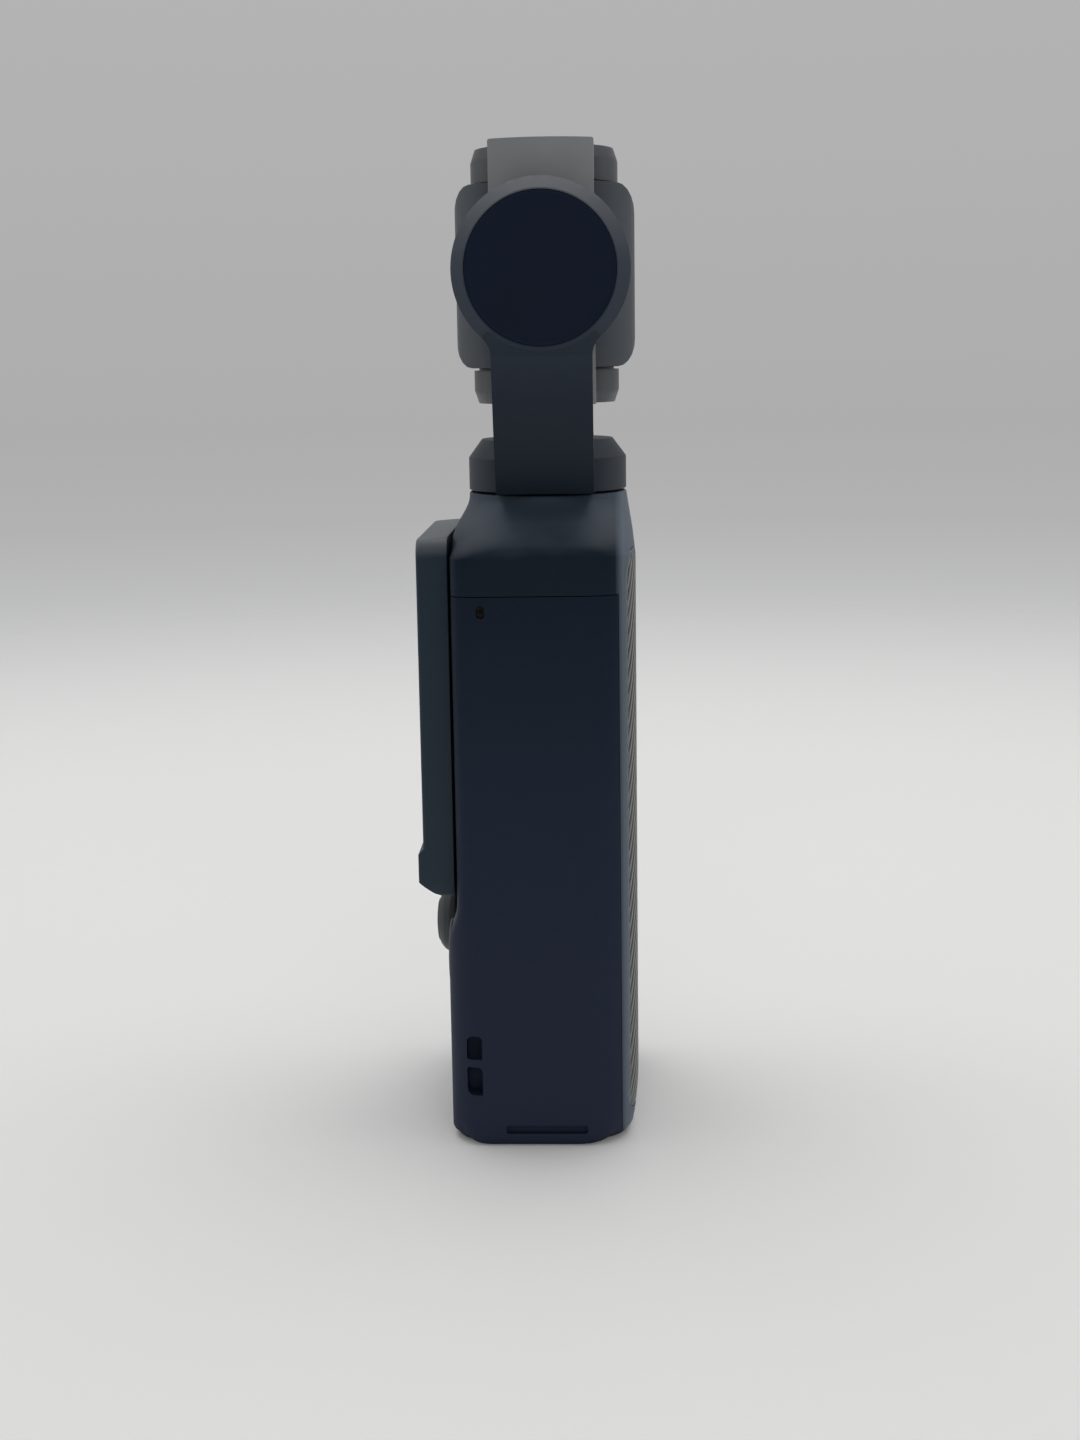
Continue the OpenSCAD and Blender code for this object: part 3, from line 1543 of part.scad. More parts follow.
rear_shell();
neck_shell();
grip_panel();
base_plate();
chassis();
battery();
main_board();
processor_shield();
heat_spreader();
usb_port();
card_socket();
speaker();
microphones();
control_board();
record_switch();
joystick_switch();
joystick_housing();
status_lamp();
screen_hinge_base();
hinge_detent_spring();
case_screws();
pan_mount();
pan_stator();
pan_coils();
pan_bearings();
screen_housing();
display_panel();
screen_glass();
screen_hub();
hub_retainer();
hub_screws();
record_button();
joystick_plunger();
joystick_cradle();
joystick_cap();
pan_housing();
pan_magnets();
pan_shaft();
pan_arm();
arm_flex();
arm_screws();
roll_cover();
roll_stator();
roll_coils();
roll_bearings();
yoke();
roll_rotor();
roll_magnets();
tilt_cover();
tilt_stator();
tilt_coils();
tilt_bearings();
head_rear_shell();
head_front_shell();
tilt_rotor();
tilt_magnets();
tilt_pin();
lens_barrel();
lens_group();
sensor_board();
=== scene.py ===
import json
import math

import bmesh
import bpy
from mathutils import Matrix, Vector


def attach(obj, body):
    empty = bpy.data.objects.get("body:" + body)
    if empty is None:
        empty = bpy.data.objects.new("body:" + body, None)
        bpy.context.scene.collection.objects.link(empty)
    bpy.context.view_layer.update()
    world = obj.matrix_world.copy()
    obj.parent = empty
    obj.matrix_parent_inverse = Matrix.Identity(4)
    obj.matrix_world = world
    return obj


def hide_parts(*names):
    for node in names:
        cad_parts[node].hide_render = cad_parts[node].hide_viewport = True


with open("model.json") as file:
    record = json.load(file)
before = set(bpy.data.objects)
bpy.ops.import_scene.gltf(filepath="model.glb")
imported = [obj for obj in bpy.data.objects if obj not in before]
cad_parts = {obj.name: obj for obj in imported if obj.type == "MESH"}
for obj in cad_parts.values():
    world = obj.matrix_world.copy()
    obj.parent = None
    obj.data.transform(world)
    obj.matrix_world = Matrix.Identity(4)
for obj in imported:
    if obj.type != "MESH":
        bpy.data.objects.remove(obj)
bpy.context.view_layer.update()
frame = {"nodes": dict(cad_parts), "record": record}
nodes = frame["nodes"]
scene = bpy.context.scene
scene.view_settings.view_transform = "Standard"
MM = 0.001


# Heights and places that several pieces share, in millimetres

KEY_Z, KEY_Y = 25.0, 8.5  # The record button at -KEY_Y, the joystick at KEY_Y
HUB_Z = 60.8  # The screen's turning axis
ROLL_Z, YOKE_FACE_Y = 122.6, -13.8  # The roll axis, and the yoke's face towards the arm
TILT_Y, LENS_Z, LENS_R = 1.75, 122.05, 7.4  # The tilt axis, the lens axis and the front glass
Y_AXIS, Z_AXIS, REARWARD = (0, 1, 0), (0, 0, 1), (-1, 0, 0)


# Finishes

GRAIN_MM, GRAIN_DEPTH, CLOUD_MM, GLOSS_DRIFT = 0.16, 0.012, 14, 0.04


# Colours are written as on a screen, 0 to 255, and turned into the linear values of a shader
def paint(red, green, blue):
    def linear(value):
        share = value / 255
        return share / 12.92 if share <= 0.04045 else ((share + 0.055) / 1.055) ** 2.4
    return (linear(red), linear(green), linear(blue), 1.0)


def shade(colour, factor):
    return tuple(min(1.0, c * factor) for c in colour[:3]) + (1.0,)


def feed(tree, node, inputs):
    """Each input of a node is given a constant, or linked to a socket"""
    for name, value in inputs.items():
        if isinstance(value, bpy.types.NodeSocket):
            tree.links.new(value, node.inputs[name])
        else:
            node.inputs[name].default_value = value


def add_node(tree, kind, inputs, **settings):
    made = tree.nodes.new(kind)
    for name, value in settings.items():
        setattr(made, name, value)
    feed(tree, made, inputs)
    return made


def start_finish(name):
    """A new material, its node tree, and the place on the object"""
    finish = bpy.data.materials.new(name)
    finish.use_nodes = True
    tree = finish.node_tree
    return finish, tree, add_node(tree, "ShaderNodeTexCoord", {}).outputs["Object"]


def end_finish(finish, inputs, height=None, depth_mm=0.0):
    """The shader's inputs, and the relief that a height field gives it"""
    tree = finish.node_tree
    if height is not None:
        relief = add_node(tree, "ShaderNodeBump",
                          {"Height": height, "Distance": depth_mm * MM, "Strength": 1.0})
        inputs["Normal"] = relief.outputs["Normal"]
    feed(tree, tree.nodes["Principled BSDF"], inputs)
    return finish


def noise(tree, place, size_mm, detail=2.0):
    return add_node(tree, "ShaderNodeTexNoise", {
        "Vector": place, "Scale": 1 / (size_mm * MM), "Detail": detail,
        "Roughness": 0.5}).outputs["Fac"]


def ramp(tree, factor, stops):
    made = add_node(tree, "ShaderNodeValToRGB", {"Fac": factor})
    band = made.color_ramp
    while len(band.elements) < len(stops):
        band.elements.new(0.5)
    for element, (at, colour) in zip(band.elements, stops):
        element.position = at
        element.color = colour
    return made.outputs["Color"]


def spread(tree, factor, low, high, start=0.0, end=1.0, turn="LINEAR"):
    """A value between start and end, carried over to between low and high"""
    return add_node(tree, "ShaderNodeMapRange", {
        "Value": factor, "From Min": start, "From Max": end, "To Min": low,
        "To Max": high}, interpolation_type=turn).outputs["Result"]


def drifting_gloss(tree, factor, rough, drift=GLOSS_DRIFT):
    return spread(tree, factor, rough - drift, rough + drift)


def mixed(tree, factor, first, second, way="MIX"):
    """Two colours brought together, each a socket or a constant, as the factor is"""
    return add_node(tree, "ShaderNodeMix", {"Factor": factor, 6: first, 7: second},
                    data_type="RGBA", blend_type=way).outputs[2]


def axes_of(tree, place):
    return add_node(tree, "ShaderNodeSeparateXYZ", {"Vector": place}).outputs


def flat_place(tree, place, axes):
    """A place laid flat: axes names the old axis that each new one takes"""
    parts = axes_of(tree, place)
    return add_node(tree, "ShaderNodeCombineXYZ", {
        new: parts[old] for new, old in axes.items()}).outputs["Vector"]


def distance(tree, place, centre):
    return add_node(tree, "ShaderNodeVectorMath", {
        0: place, 1: tuple(c * MM for c in centre)}, operation="DISTANCE").outputs["Value"]


def named_field(tree, name):
    return add_node(tree, "ShaderNodeAttribute", {}, attribute_name=name).outputs["Fac"]


# Moulded or painted surface: a fine even grain, and a faint cloudiness of colour and gloss
def fine_surface(name, colour, rough=0.5, grain_mm=GRAIN_MM, grain_depth=GRAIN_DEPTH,
                 cloud_mm=CLOUD_MM, cloud=0.06, metal=0.0, specular=0.5, coat=0.0):
    finish, tree, place = start_finish(name)
    clouds = noise(tree, place, cloud_mm, 3)
    stops = [(0.3, shade(colour, 1 - cloud)), (0.7, shade(colour, 1 + cloud))]
    return end_finish(finish, {
        "Base Color": ramp(tree, clouds, stops), "Metallic": metal,
        "Roughness": drifting_gloss(tree, clouds, rough),
        "Specular IOR Level": specular, "Coat Weight": coat},
        noise(tree, place, grain_mm), grain_depth)


# Moulded or painted surface whose colour changes with the height, over stops of (mm, colour), as
# painted light and shade; front is (from mm, to mm, colour), a lighter colour painted on what lies
# further forward
def graded_surface(name, stops, rough=0.5, specular=0.3, front=None):
    finish, tree, place = start_finish(name)
    parts = axes_of(tree, place)
    low, high = stops[0][0], stops[-1][0]
    clouds = noise(tree, place, CLOUD_MM, 3)
    rise = spread(tree, parts["Z"], 0, 1, low * MM, high * MM)
    drift = add_node(tree, "ShaderNodeMath", {0: rise, 1: spread(tree, clouds, -0.03, 0.03)},
                     operation="ADD")
    tint = ramp(tree, drift.outputs[0], [((z - low) / (high - low), colour) for z, colour in stops])
    if front:
        ahead = spread(tree, parts["X"], 0, 1, front[0] * MM, front[1] * MM)
        tint = mixed(tree, ahead, tint, front[2])
    return end_finish(finish, {
        "Base Color": tint, "Specular IOR Level": specular,
        "Roughness": drifting_gloss(tree, clouds, rough)},
        noise(tree, place, GRAIN_MM), GRAIN_DEPTH)


# Windings, stacked sheets, strips of conductors and turned marks: fine bands along one axis
def banded_surface(name, colour, line, pitch_mm, axis="Z", rough=0.35, metal=0.0, depth_mm=0.04):
    finish, tree, place = start_finish(name)
    bands = add_node(tree, "ShaderNodeTexWave", {
        "Vector": place, "Scale": math.pi / 10 / (pitch_mm * MM), "Distortion": 0.6},
        bands_direction=axis, wave_profile="SIN").outputs["Fac"]
    clouds = noise(tree, place, 3, 3)
    tint = ramp(tree, bands, [(0.1, line), (0.45, colour), (0.9, shade(colour, 1.12))])
    worn = ramp(tree, clouds, [(0.35, shade(colour, 0.75)), (0.65, colour)])
    return end_finish(finish, {
        "Base Color": mixed(tree, 0.3, tint, worn), "Metallic": metal,
        "Roughness": spread(tree, clouds, rough - 0.06, rough + 0.08)}, bands, depth_mm)


# Boards and panels laid out in small fields: circuit tracks, or the dots of a display
def tracked_surface(name, field, other, track, width_mm, height_mm, rough=0.4):
    finish, tree, place = start_finish(name)
    fields = add_node(tree, "ShaderNodeTexBrick", {
        "Vector": flat_place(tree, place, {"X": "Y", "Y": "Z"}), "Scale": 1.0,
        "Brick Width": width_mm * MM, "Row Height": height_mm * MM,
        "Mortar Size": min(width_mm, height_mm) * MM * 0.1,
        "Color1": field, "Color2": other, "Mortar": track}).outputs
    clouds = noise(tree, place, 2.5)
    return end_finish(finish, {
        "Base Color": fields["Color"],
        "Roughness": drifting_gloss(tree, clouds, rough, 0.08)}, fields["Fac"], 0.03)


# Coated lens glass: deep in the middle, with the tint of its coating towards the rim
def coated_glass(name, middle, between, rim):
    finish, tree, place = start_finish(name)
    away = distance(tree, flat_place(tree, place, {"X": "X", "Z": "Z"}), (0, 0, LENS_Z))
    share = spread(tree, away, 0, 1, 0, LENS_R * MM)
    return end_finish(finish, {
        "Base Color": ramp(tree, share, [(0.2, middle), (0.7, between), (1.0, rim)]),
        "Roughness": spread(tree, noise(tree, place, 4, 3), 0.02, 0.09),
        "Coat Weight": 0.8, "Coat Roughness": 0.03})


# Ribbed grip: painted shade darkens the grooves, the crests carry a painted highlight, and the
# plain border is painted lighter as a highlight
def ribbed_surface(name, crest, groove, border):
    finish, tree, place = start_finish(name)
    depth = named_field(tree, "groove")
    ribs = ramp(tree, depth, [(0.0, crest), (0.35, shade(crest, 0.7)), (0.8, groove)])
    worn = ramp(tree, noise(tree, place, 9, 3), [(0.3, (0.93, 0.93, 0.93, 1)), (0.7, (1, 1, 1, 1))])
    tint = mixed(tree, named_field(tree, "border"), ribs, border)
    return end_finish(finish, {
        "Base Color": mixed(tree, 1.0, tint, worn, "MULTIPLY"),
        "Roughness": spread(tree, depth, 0.36, 0.62)}, noise(tree, place, 0.14), 0.01)


# Yoke paint: one grey painted lighter on the bowed back and darker on the two round ends, as
# painted light and shade
def yoke_surface(name, back, ends):
    finish, tree, place = start_finish(name)
    away = distance(tree, flat_place(tree, place, {"X": "X", "Y": "Y"}), (0, TILT_Y, 0))
    turn = spread(tree, away, 0, 1, 10.45 * MM, 10.6 * MM)
    clouds = noise(tree, place, 12, 3)
    cloudy = [ramp(tree, clouds, [(0.3, shade(colour, 0.95)), (0.7, shade(colour, 1.05))])
              for colour in (ends, back)]
    return end_finish(finish, {
        "Base Color": mixed(tree, turn, *cloudy),
        "Roughness": spread(tree, clouds, 0.36, 0.46)}, noise(tree, place, 0.12), 0.008)


FINISHES = {
    # Painted shade: the casing's colour darkens towards the top
    "case_plastic": graded_surface("moulded dark casing", [
        (0, paint(38, 45, 64)), (50, paint(32, 42, 58)), (80, paint(20, 31, 46))], 0.55, 0.12),
    # Painted light: the upright wall is darkened as painted shade, the slope up to the neck is
    # lightened as a painted highlight from above, and the front strip beside the grip is painted
    # lighter as a highlight
    "shoulder_plastic": graded_surface("moulded shoulder casing", [
        (0, paint(26, 38, 50)), (78, paint(18, 32, 46)), (84.5, paint(14, 28, 42)),
        (88.5, paint(60, 70, 82)), (92, paint(62, 72, 84))], 0.5, 0.15,
        front=(9.6, 10.7, paint(98, 107, 118))),
    # Painted light: light crests, near-black grooves and a lighter border
    "grip_plastic": ribbed_surface(
        "ribbed grip", paint(132, 134, 130), paint(8, 10, 11), paint(98, 108, 118)),
    "base_plastic": fine_surface("foot plate", paint(42, 48, 56), 0.55),
    "frame_alloy": fine_surface("cast alloy", paint(150, 154, 158), 0.42, metal=0.9),
    "battery_wrap": fine_surface("battery film", paint(74, 90, 138), 0.3, grain_mm=1.6,
                                 grain_depth=0.08, cloud_mm=6, cloud=0.12),
    "board_green": tracked_surface(
        "board", paint(28, 84, 56), paint(38, 104, 70), paint(96, 150, 92), 2.2, 0.9),
    "shield_tin": fine_surface("tinned sheet", paint(184, 188, 192), 0.35, metal=0.95),
    "copper_sheet": fine_surface("copper sheet", paint(192, 122, 74), 0.35, metal=0.95),
    "port_steel": fine_surface("satin steel", paint(169, 173, 178), 0.3, metal=0.95),
    "speaker_plastic": fine_surface("speaker body", paint(51, 55, 59), 0.6),
    "mic_can": tracked_surface(
        "dark port mesh", paint(34, 33, 31), paint(26, 25, 24), paint(58, 57, 55), 0.18, 0.18, 0.6),
    "lamp_plastic": fine_surface("lamp pipe", paint(190, 214, 200), 0.25),
    "spring_steel": banded_surface(
        "spring steel", paint(176, 180, 184), paint(128, 132, 137), 0.2, "X", 0.26, 0.95, 0.01),
    "screw_steel": fine_surface("black screws", paint(58, 61, 65), 0.35, metal=0.8),
    "motor_steel": banded_surface(
        "motor sheet", paint(112, 116, 121), paint(62, 65, 69), 0.35, metal=0.9),
    "coil_copper": banded_surface(
        "enamelled wire", paint(190, 112, 48), paint(84, 44, 18), 0.28, "DIAGONAL", 0.3, 0.6, 0.08),
    "bearing_steel": banded_surface(
        "ground steel", paint(200, 203, 207), paint(160, 164, 169), 0.12, "DIAGONAL", 0.2, 1.0,
        0.01),
    "magnet_nickel": fine_surface("nickel plate", paint(143, 150, 156), 0.22, metal=1.0),
    # Painted highlight: the screen casing's top edge is painted much lighter than its sides
    "screen_plastic": graded_surface("screen casing", [
        (35, paint(46, 58, 68)), (84, paint(39, 52, 65)), (86.6, paint(104, 108, 112))], 0.5, 0.15),
    "display": tracked_surface(
        "display", paint(13, 15, 20), paint(11, 14, 17), paint(7, 8, 10), 0.12, 0.12, 0.2),
    "screen_glass": fine_surface("screen glass", paint(14, 16, 20), 0.06, coat=0.5),
    "button_plastic": fine_surface("button", paint(74, 77, 82), 0.45),
    "stick_plastic": fine_surface("joystick", paint(62, 64, 68), 0.5, specular=0.3),
    # Painted light: the arm is painted dark low down and lighter towards the top, where the light
    # from above falls
    "arm_paint": graded_surface("arm paint", [
        (92, paint(22, 32, 44)), (106, paint(30, 40, 53)), (114, paint(44, 53, 66)),
        (124, paint(62, 69, 80)), (134, paint(98, 101, 106))], 0.48, 0.2),
    "housing_paint": fine_surface("housing paint", paint(37, 45, 56), 0.48, specular=0.25),
    "flex_film": banded_surface("flat cable", paint(186, 104, 32), paint(132, 66, 18), 0.5, "X"),
    "disc_black": fine_surface("dark disc", paint(20, 30, 48), 0.5, specular=0.1),
    # Painted light and shade: the yoke's back is painted light and its round ends dark
    "yoke_paint": yoke_surface("yoke paint", paint(141, 142, 144), paint(55, 58, 64)),
    "head_plastic": fine_surface("head casing", paint(66, 71, 78), 0.5, specular=0.35),
    "barrel_black": fine_surface("barrel", paint(24, 26, 30), 0.4),
    "lens_glass": coated_glass("lens", paint(10, 14, 26), paint(26, 34, 84), paint(70, 34, 96)),
}
SLOT_OF = {p["node"]: p["material_slot"] for p in frame["record"]["subparts"]}
for name, piece in nodes.items():
    piece.data.materials.clear()
    piece.data.materials.append(FINISHES[SLOT_OF[name]])


# Modelling tools: sizes are in millimetres until a piece is finished

def loft(rings, capped=True):
    """A skin over rings of points: the first is drawn, and each next one is extruded from it"""
    shape = bmesh.new()
    ring = [shape.verts.new(point) for point in rings[0]]
    edges = [shape.edges.new((ring[k - 1], ring[k])) for k in range(len(ring))]
    if capped:
        bmesh.ops.contextual_create(shape, geom=edges)
    for points in rings[1:]:
        rank = {vert: k for k, vert in enumerate(ring)}
        made = bmesh.ops.extrude_edge_only(shape, edges=edges)["geom"]
        fresh = [item for item in made if isinstance(item, bmesh.types.BMVert)]
        for vert in fresh:
            k = next(rank[edge.other_vert(vert)] for edge in vert.link_edges
                     if edge.other_vert(vert) in rank)
            vert.co = points[k]
            ring[k] = vert
        own = set(fresh)
        edges = [item for item in made if isinstance(item, bmesh.types.BMEdge)
                 and item.verts[0] in own and item.verts[1] in own]
    if capped:
        bmesh.ops.contextual_create(shape, geom=edges)
    bmesh.ops.recalc_face_normals(shape, faces=shape.faces)
    return shape


def eased(corners, steps=3):
    """A flat path whose corners (x, y, radius) are rounded"""
    path = []
    for k, (x, y, radius) in enumerate(corners):
        here = Vector((x, y))
        if radius <= 0:
            path.append(here)
            continue
        back = (Vector(corners[k - 1][:2]) - here).normalized()
        ahead = (Vector(corners[(k + 1) % len(corners)][:2]) - here).normalized()
        half = back.angle(ahead) / 2
        reach = radius / math.tan(half)
        middle = here + (back + ahead).normalized() * radius / math.sin(half)
        start = here + back * reach - middle
        end = here + ahead * reach - middle
        for step in range(steps + 1):
            path.append(middle + start.slerp(end, step / steps).normalized() * radius)
    return path


def turned(path, axis, centre, sides=96):
    """A solid spun from a closed path of (radius, height along the axis from its centre)"""
    lead = Vector(axis)
    side = lead.orthogonal().normalized()
    middle = Vector(centre)
    shape = bmesh.new()
    ring = [shape.verts.new(middle + side * max(0.0, r) + lead * h) for r, h in path]
    edges = [shape.edges.new((ring[k - 1], ring[k])) for k in range(len(ring))
             if ring[k - 1].co != ring[k].co
             and not (path[k - 1][0] <= 0 and path[k][0] <= 0)]
    bmesh.ops.spin(shape, geom=ring + edges, cent=middle, axis=lead, angle=2 * math.pi,
                   steps=sides, use_merge=True)
    bmesh.ops.remove_doubles(shape, verts=shape.verts, dist=0.0005)
    bmesh.ops.dissolve_degenerate(shape, dist=0.0005, edges=shape.edges)
    bmesh.ops.recalc_face_normals(shape, faces=shape.faces)
    return shape


def even_path(corners, flats, steps):
    """A rounded outline whose straight runs are divided too: flats gives the parts of each run"""
    path = eased(corners, steps)
    per = steps + 1
    full = []
    for k in range(len(corners)):
        full += path[k * per:(k + 1) * per]
        start, end = path[(k + 1) * per - 1], path[((k + 1) * per) % len(path)]
        full += [start.lerp(end, step / flats[k]) for step in range(1, flats[k])]
    return full


def stacked(outline, axis, levels):
    """A solid of flat outlines stacked along an axis: each level is (place, growth)"""
    def lay(point, place):
        u, v = point
        return {"x": (place, u, v), "y": (u, place, v), "z": (u, v, place)}[axis]
    return loft([[lay(point, place) for point in outline(growth)] for place, growth in levels])


def box_outline(low, high, radius, steps=6):
    """A rounded rectangle: one radius for all corners, or four from the lower left one onwards"""
    radii = radius if isinstance(radius, tuple) else (radius,) * 4

    def outline(growth):
        left, bottom = low[0] - growth, low[1] - growth
        right, top = high[0] + growth, high[1] + growth
        corners = ((left, bottom), (right, bottom), (right, top), (left, top))
        return eased([(u, v, max(0.02, r + growth)) for (u, v), r in zip(corners, radii)], steps)
    return outline


def round_outline(centre, radius, sides=72):
    def outline(growth):
        reach = radius + growth
        return [(centre[0] + reach * math.cos(2 * math.pi * k / sides),
                 centre[1] + reach * math.sin(2 * math.pi * k / sides)) for k in range(sides)]
    return outline


def as_object(name, shape):
    """A linked object with the shape's mesh; the shape is used up"""
    mesh = bpy.data.meshes.new(name)
    shape.to_mesh(mesh)
    shape.free()
    made = bpy.data.objects.new(name, mesh)
    scene.collection.objects.link(made)
    return made


def discard(holder):
    mesh = holder.data
    bpy.data.objects.remove(holder)
    bpy.data.meshes.remove(mesh)


def modified(holder):
    """The holder's mesh after its modifiers, as a shape again"""
    shape = bmesh.new()
    graph = bpy.context.evaluated_depsgraph_get()
    mesh = bpy.data.meshes.new_from_object(holder.evaluated_get(graph))
    shape.from_mesh(mesh)
    bpy.data.meshes.remove(mesh)
    discard(holder)
    return shape


def gathered(shapes):
    """Several separate shapes as one"""
    whole = bmesh.new()
    for shape in shapes:
        holder = as_object("part", shape)
        whole.from_mesh(holder.data)
        discard(holder)
    bmesh.ops.recalc_face_normals(whole, faces=whole.faces)
    return whole


def combined(base, others, operation="DIFFERENCE"):
    """The base shape with the others cut out of it, joined to it, or kept where they meet"""
    holder = as_object("base", base)
    tools = [as_object("tool", shape) for shape in others]
    for tool in tools:
        step = holder.modifiers.new("combine", "BOOLEAN")
        step.operation = operation
        step.solver = "EXACT"
        step.object = tool
    shape = modified(holder)
    for tool in tools:
        discard(tool)
    return shape


def walled(skin, thickness, share_at):
    """A skin given its wall, inwards; share_at says how much of it a point takes"""
    holder = as_object("skin", skin)
    group = holder.vertex_groups.new(name="wall")
    for vert in holder.data.vertices:
        group.add([vert.index], share_at(vert.co), "REPLACE")
    step = holder.modifiers.new("wall", "SOLIDIFY")
    step.thickness = thickness
    step.offset = -1
    step.use_even_offset = True
    step.vertex_group = "wall"
    return modified(holder)


def ease_edges(shape, width, least=40, steps=2, where=None):
    """Rounds the edges that turn by more than least degrees"""
    edges = [edge for edge in shape.edges if edge.is_manifold
             and edge.calc_face_angle(0) > math.radians(least) and (not where or where(edge))]
    bmesh.ops.bevel(shape, geom=edges, offset=width, offset_type="OFFSET", affect="EDGES",
                    segments=steps, profile=0.5, material=-1, clamp_overlap=True)
    return shape


def merged_copy(name):
    """A copy of a CAD node's mesh, its loose triangles merged"""
    shape = bmesh.new()
    shape.from_mesh(nodes[name].data)
    bmesh.ops.scale(shape, vec=(1 / MM,) * 3, verts=shape.verts)
    bmesh.ops.remove_doubles(shape, verts=shape.verts, dist=0.001)
    bmesh.ops.dissolve_limit(shape, angle_limit=math.radians(0.6), verts=shape.verts,
                             edges=shape.edges)
    return shape


def finish_piece(name, shape, body, slot, replaced, smooth=32, weighted=True):
    """A shape made a piece in metres, with its finish, its body and the nodes that it replaces"""
    bmesh.ops.scale(shape, vec=(MM,) * 3, verts=shape.verts)
    piece = as_object(name, shape)
    piece.data.shade_smooth()
    piece.data.set_sharp_from_angle(angle=math.radians(smooth))
    piece.data.materials.append(FINISHES[slot])
    if weighted:
        piece.modifiers.new("even shading", "WEIGHTED_NORMAL").keep_sharp = True
    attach(piece, body)
    if replaced:
        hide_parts(*replaced)


# Handle

# The casing reaches REAR and FRONT from the neck's axis, SEAT behind the screen, HALF sideways
REAR, SEAT, FRONT, HALF = 14.54, 13.0, 12.5, 21.1
REAR_R, FRONT_R, CHAMFER = 5.0, 7.0, 1.4
LAMP_Z = 17.5
FOOT_SIDE, FOOT_REAR, FOOT_FRONT_SHARE = 0.7, 1.2, 0.6  # How far the chamfer draws in the foot
FOOT_ROUND, FOOT_ROUND_Z = 0.8, 5.0  # How much rounder the corners get, and from which height
STEP_LOW, STEP_HIGH, STEP_EASE = 27.7, 36.4, 1.1
SWEEP_R, SWEEP_Z = 48.0, 10.5
SHOULDER_Z, NECK_Z, RING_R, NECK_BORE = 84.2, 92.0, 11.33, 4.05
SHOULDER_RISE, SHOULDER_ROWS = 7.2, 36
SEAM_Z, SEAM_X, SEAM = 79.1, 10.05, 0.12
WALL, FRAME_WALL, GRIP_T = 1.2, 2.1, 0.9
THIN_REAR, THIN_NECK = 0.3, 0.17  # Shares of the wall where a full one would fold over itself


def draw_in(reach, limit, ease):
    """The smaller of two reaches, with a soft turn between them"""
    if ease <= 0:
        return min(reach, limit)
    near = max(ease - abs(reach - limit), 0) / ease
    return min(reach, limit) - near * near * ease / 4


def rear_at(z):
    """Rear reach at a height, with the S-shaped step behind the screen"""
    run, rise = REAR - SEAT, STEP_HIGH - STEP_LOW
    bend = (run * run + rise * rise) / (4 * run)
    if z <= STEP_LOW:
        return REAR
    if z <= (STEP_LOW + STEP_HIGH) / 2:
        return REAR - bend + math.sqrt(bend * bend - (z - STEP_LOW) ** 2)
    if z < STEP_HIGH:
        return SEAT + bend - math.sqrt(bend * bend - (STEP_HIGH - z) ** 2)
    return SEAT


def front_at(z):
    """Front reach at a height: swept in at the foot, and drawn in to the ring above the shoulder"""
    if z >= SWEEP_Z:
        return FRONT + (RING_R - FRONT) * max(0.0, z - SHOULDER_Z) / (NECK_Z - SHOULDER_Z)
    return FRONT - SWEEP_R + math.sqrt(SWEEP_R ** 2 - (SWEEP_Z - z) ** 2)


def foot_inset(z):
    """How far the foot's sides and its rear are drawn in at a height"""
    low = max(0.0, CHAMFER - z) / CHAMFER
    return FOOT_SIDE * low, FOOT_REAR * low


def casing_plan(x, y, z):
    """A point of the full plan outline, moved to the casing's size at a height"""
    side, rear = foot_inset(z)
    y *= 1 - side / HALF
    if x > 0:
        x += (front_at(z) - rear * FOOT_FRONT_SHARE - FRONT) * min(1.0, x / (FRONT - FRONT_R))
    else:
        x += rear * min(1.0, -x / (REAR - REAR_R))
        limit = rear_at(z)
        x = -draw_in(-x, limit, min(STEP_EASE, REAR - limit))
    low = max(0.0, 1 - z / FOOT_ROUND_Z) ** 2
    corner = REAR_R if x < 0 else FRONT_R
    reach = (rear_at(z) if x < 0 else front_at(z)) - corner
    over = min(abs(x) - reach, abs(y) - (HALF - corner)) / corner
    if over > 0:
        cut = FOOT_ROUND * low * min(1.0, over / 0.7) ** 2
        x -= math.copysign(cut, x)
        y -= math.copysign(cut, y)
    return x, y


FLATS, CORNER_STEPS = (20, 16, 20, 16), 12
FULL_PLAN = even_path([(FRONT, -HALF, FRONT_R), (FRONT, HALF, FRONT_R), (-REAR, HALF, REAR_R),
                       (-REAR, -HALF, REAR_R)], FLATS, CORNER_STEPS)
# The opening in the foot, which the base plate fills
HOLE_FRONT, HOLE_REAR, HOLE_HALF, HOLE_R = 7.45, -12.19, 18.75, 2.55
HOLE_PLAN = even_path([(HOLE_FRONT, -HOLE_HALF, HOLE_R), (HOLE_FRONT, HOLE_HALF, HOLE_R),
                       (HOLE_REAR, HOLE_HALF, HOLE_R), (HOLE_REAR, -HOLE_HALF, HOLE_R)],
                      FLATS, CORNER_STEPS)


def rounded_reach(angle, half, reach, corner):
    """Distance from the middle to a rounded outline, in the direction angle"""
    ahead, aside = abs(math.cos(angle)), abs(math.sin(angle))
    x, y = reach - corner, half - corner
    if aside * reach <= ahead * y:
        return reach / ahead
    if ahead * half <= aside * x:
        return half / aside
    near = ahead * x + aside * y
    return near + math.sqrt(max(0.0, near * near - x * x - y * y + corner * corner))


def share_between(low, high, value):
    """How far a value has come from low to high, 0 to 1, with a soft start and end"""
    share = min(1.0, max(0.0, (value - low) / (high - low)))
    return share * share * (3 - 2 * share)


def shoulder_reach(angle, rise):
    """Shoulders: drawn in at the sides by an S-curve, late at the rear, evenly in front"""
    half = HALF + (RING_R - HALF) * share_between(0, 1, rise) ** 1.3
    if math.cos(angle) > 0:
        reach, corner = FRONT + (RING_R - FRONT) * rise, FRONT_R
    else:
        reach = SEAT + (RING_R - SEAT) * share_between(0.3, 0.9, rise)
        corner = REAR_R
    corner += (RING_R - corner) * rise * (2 - rise)
    return rounded_reach(angle, half, reach, min(corner, half, reach))


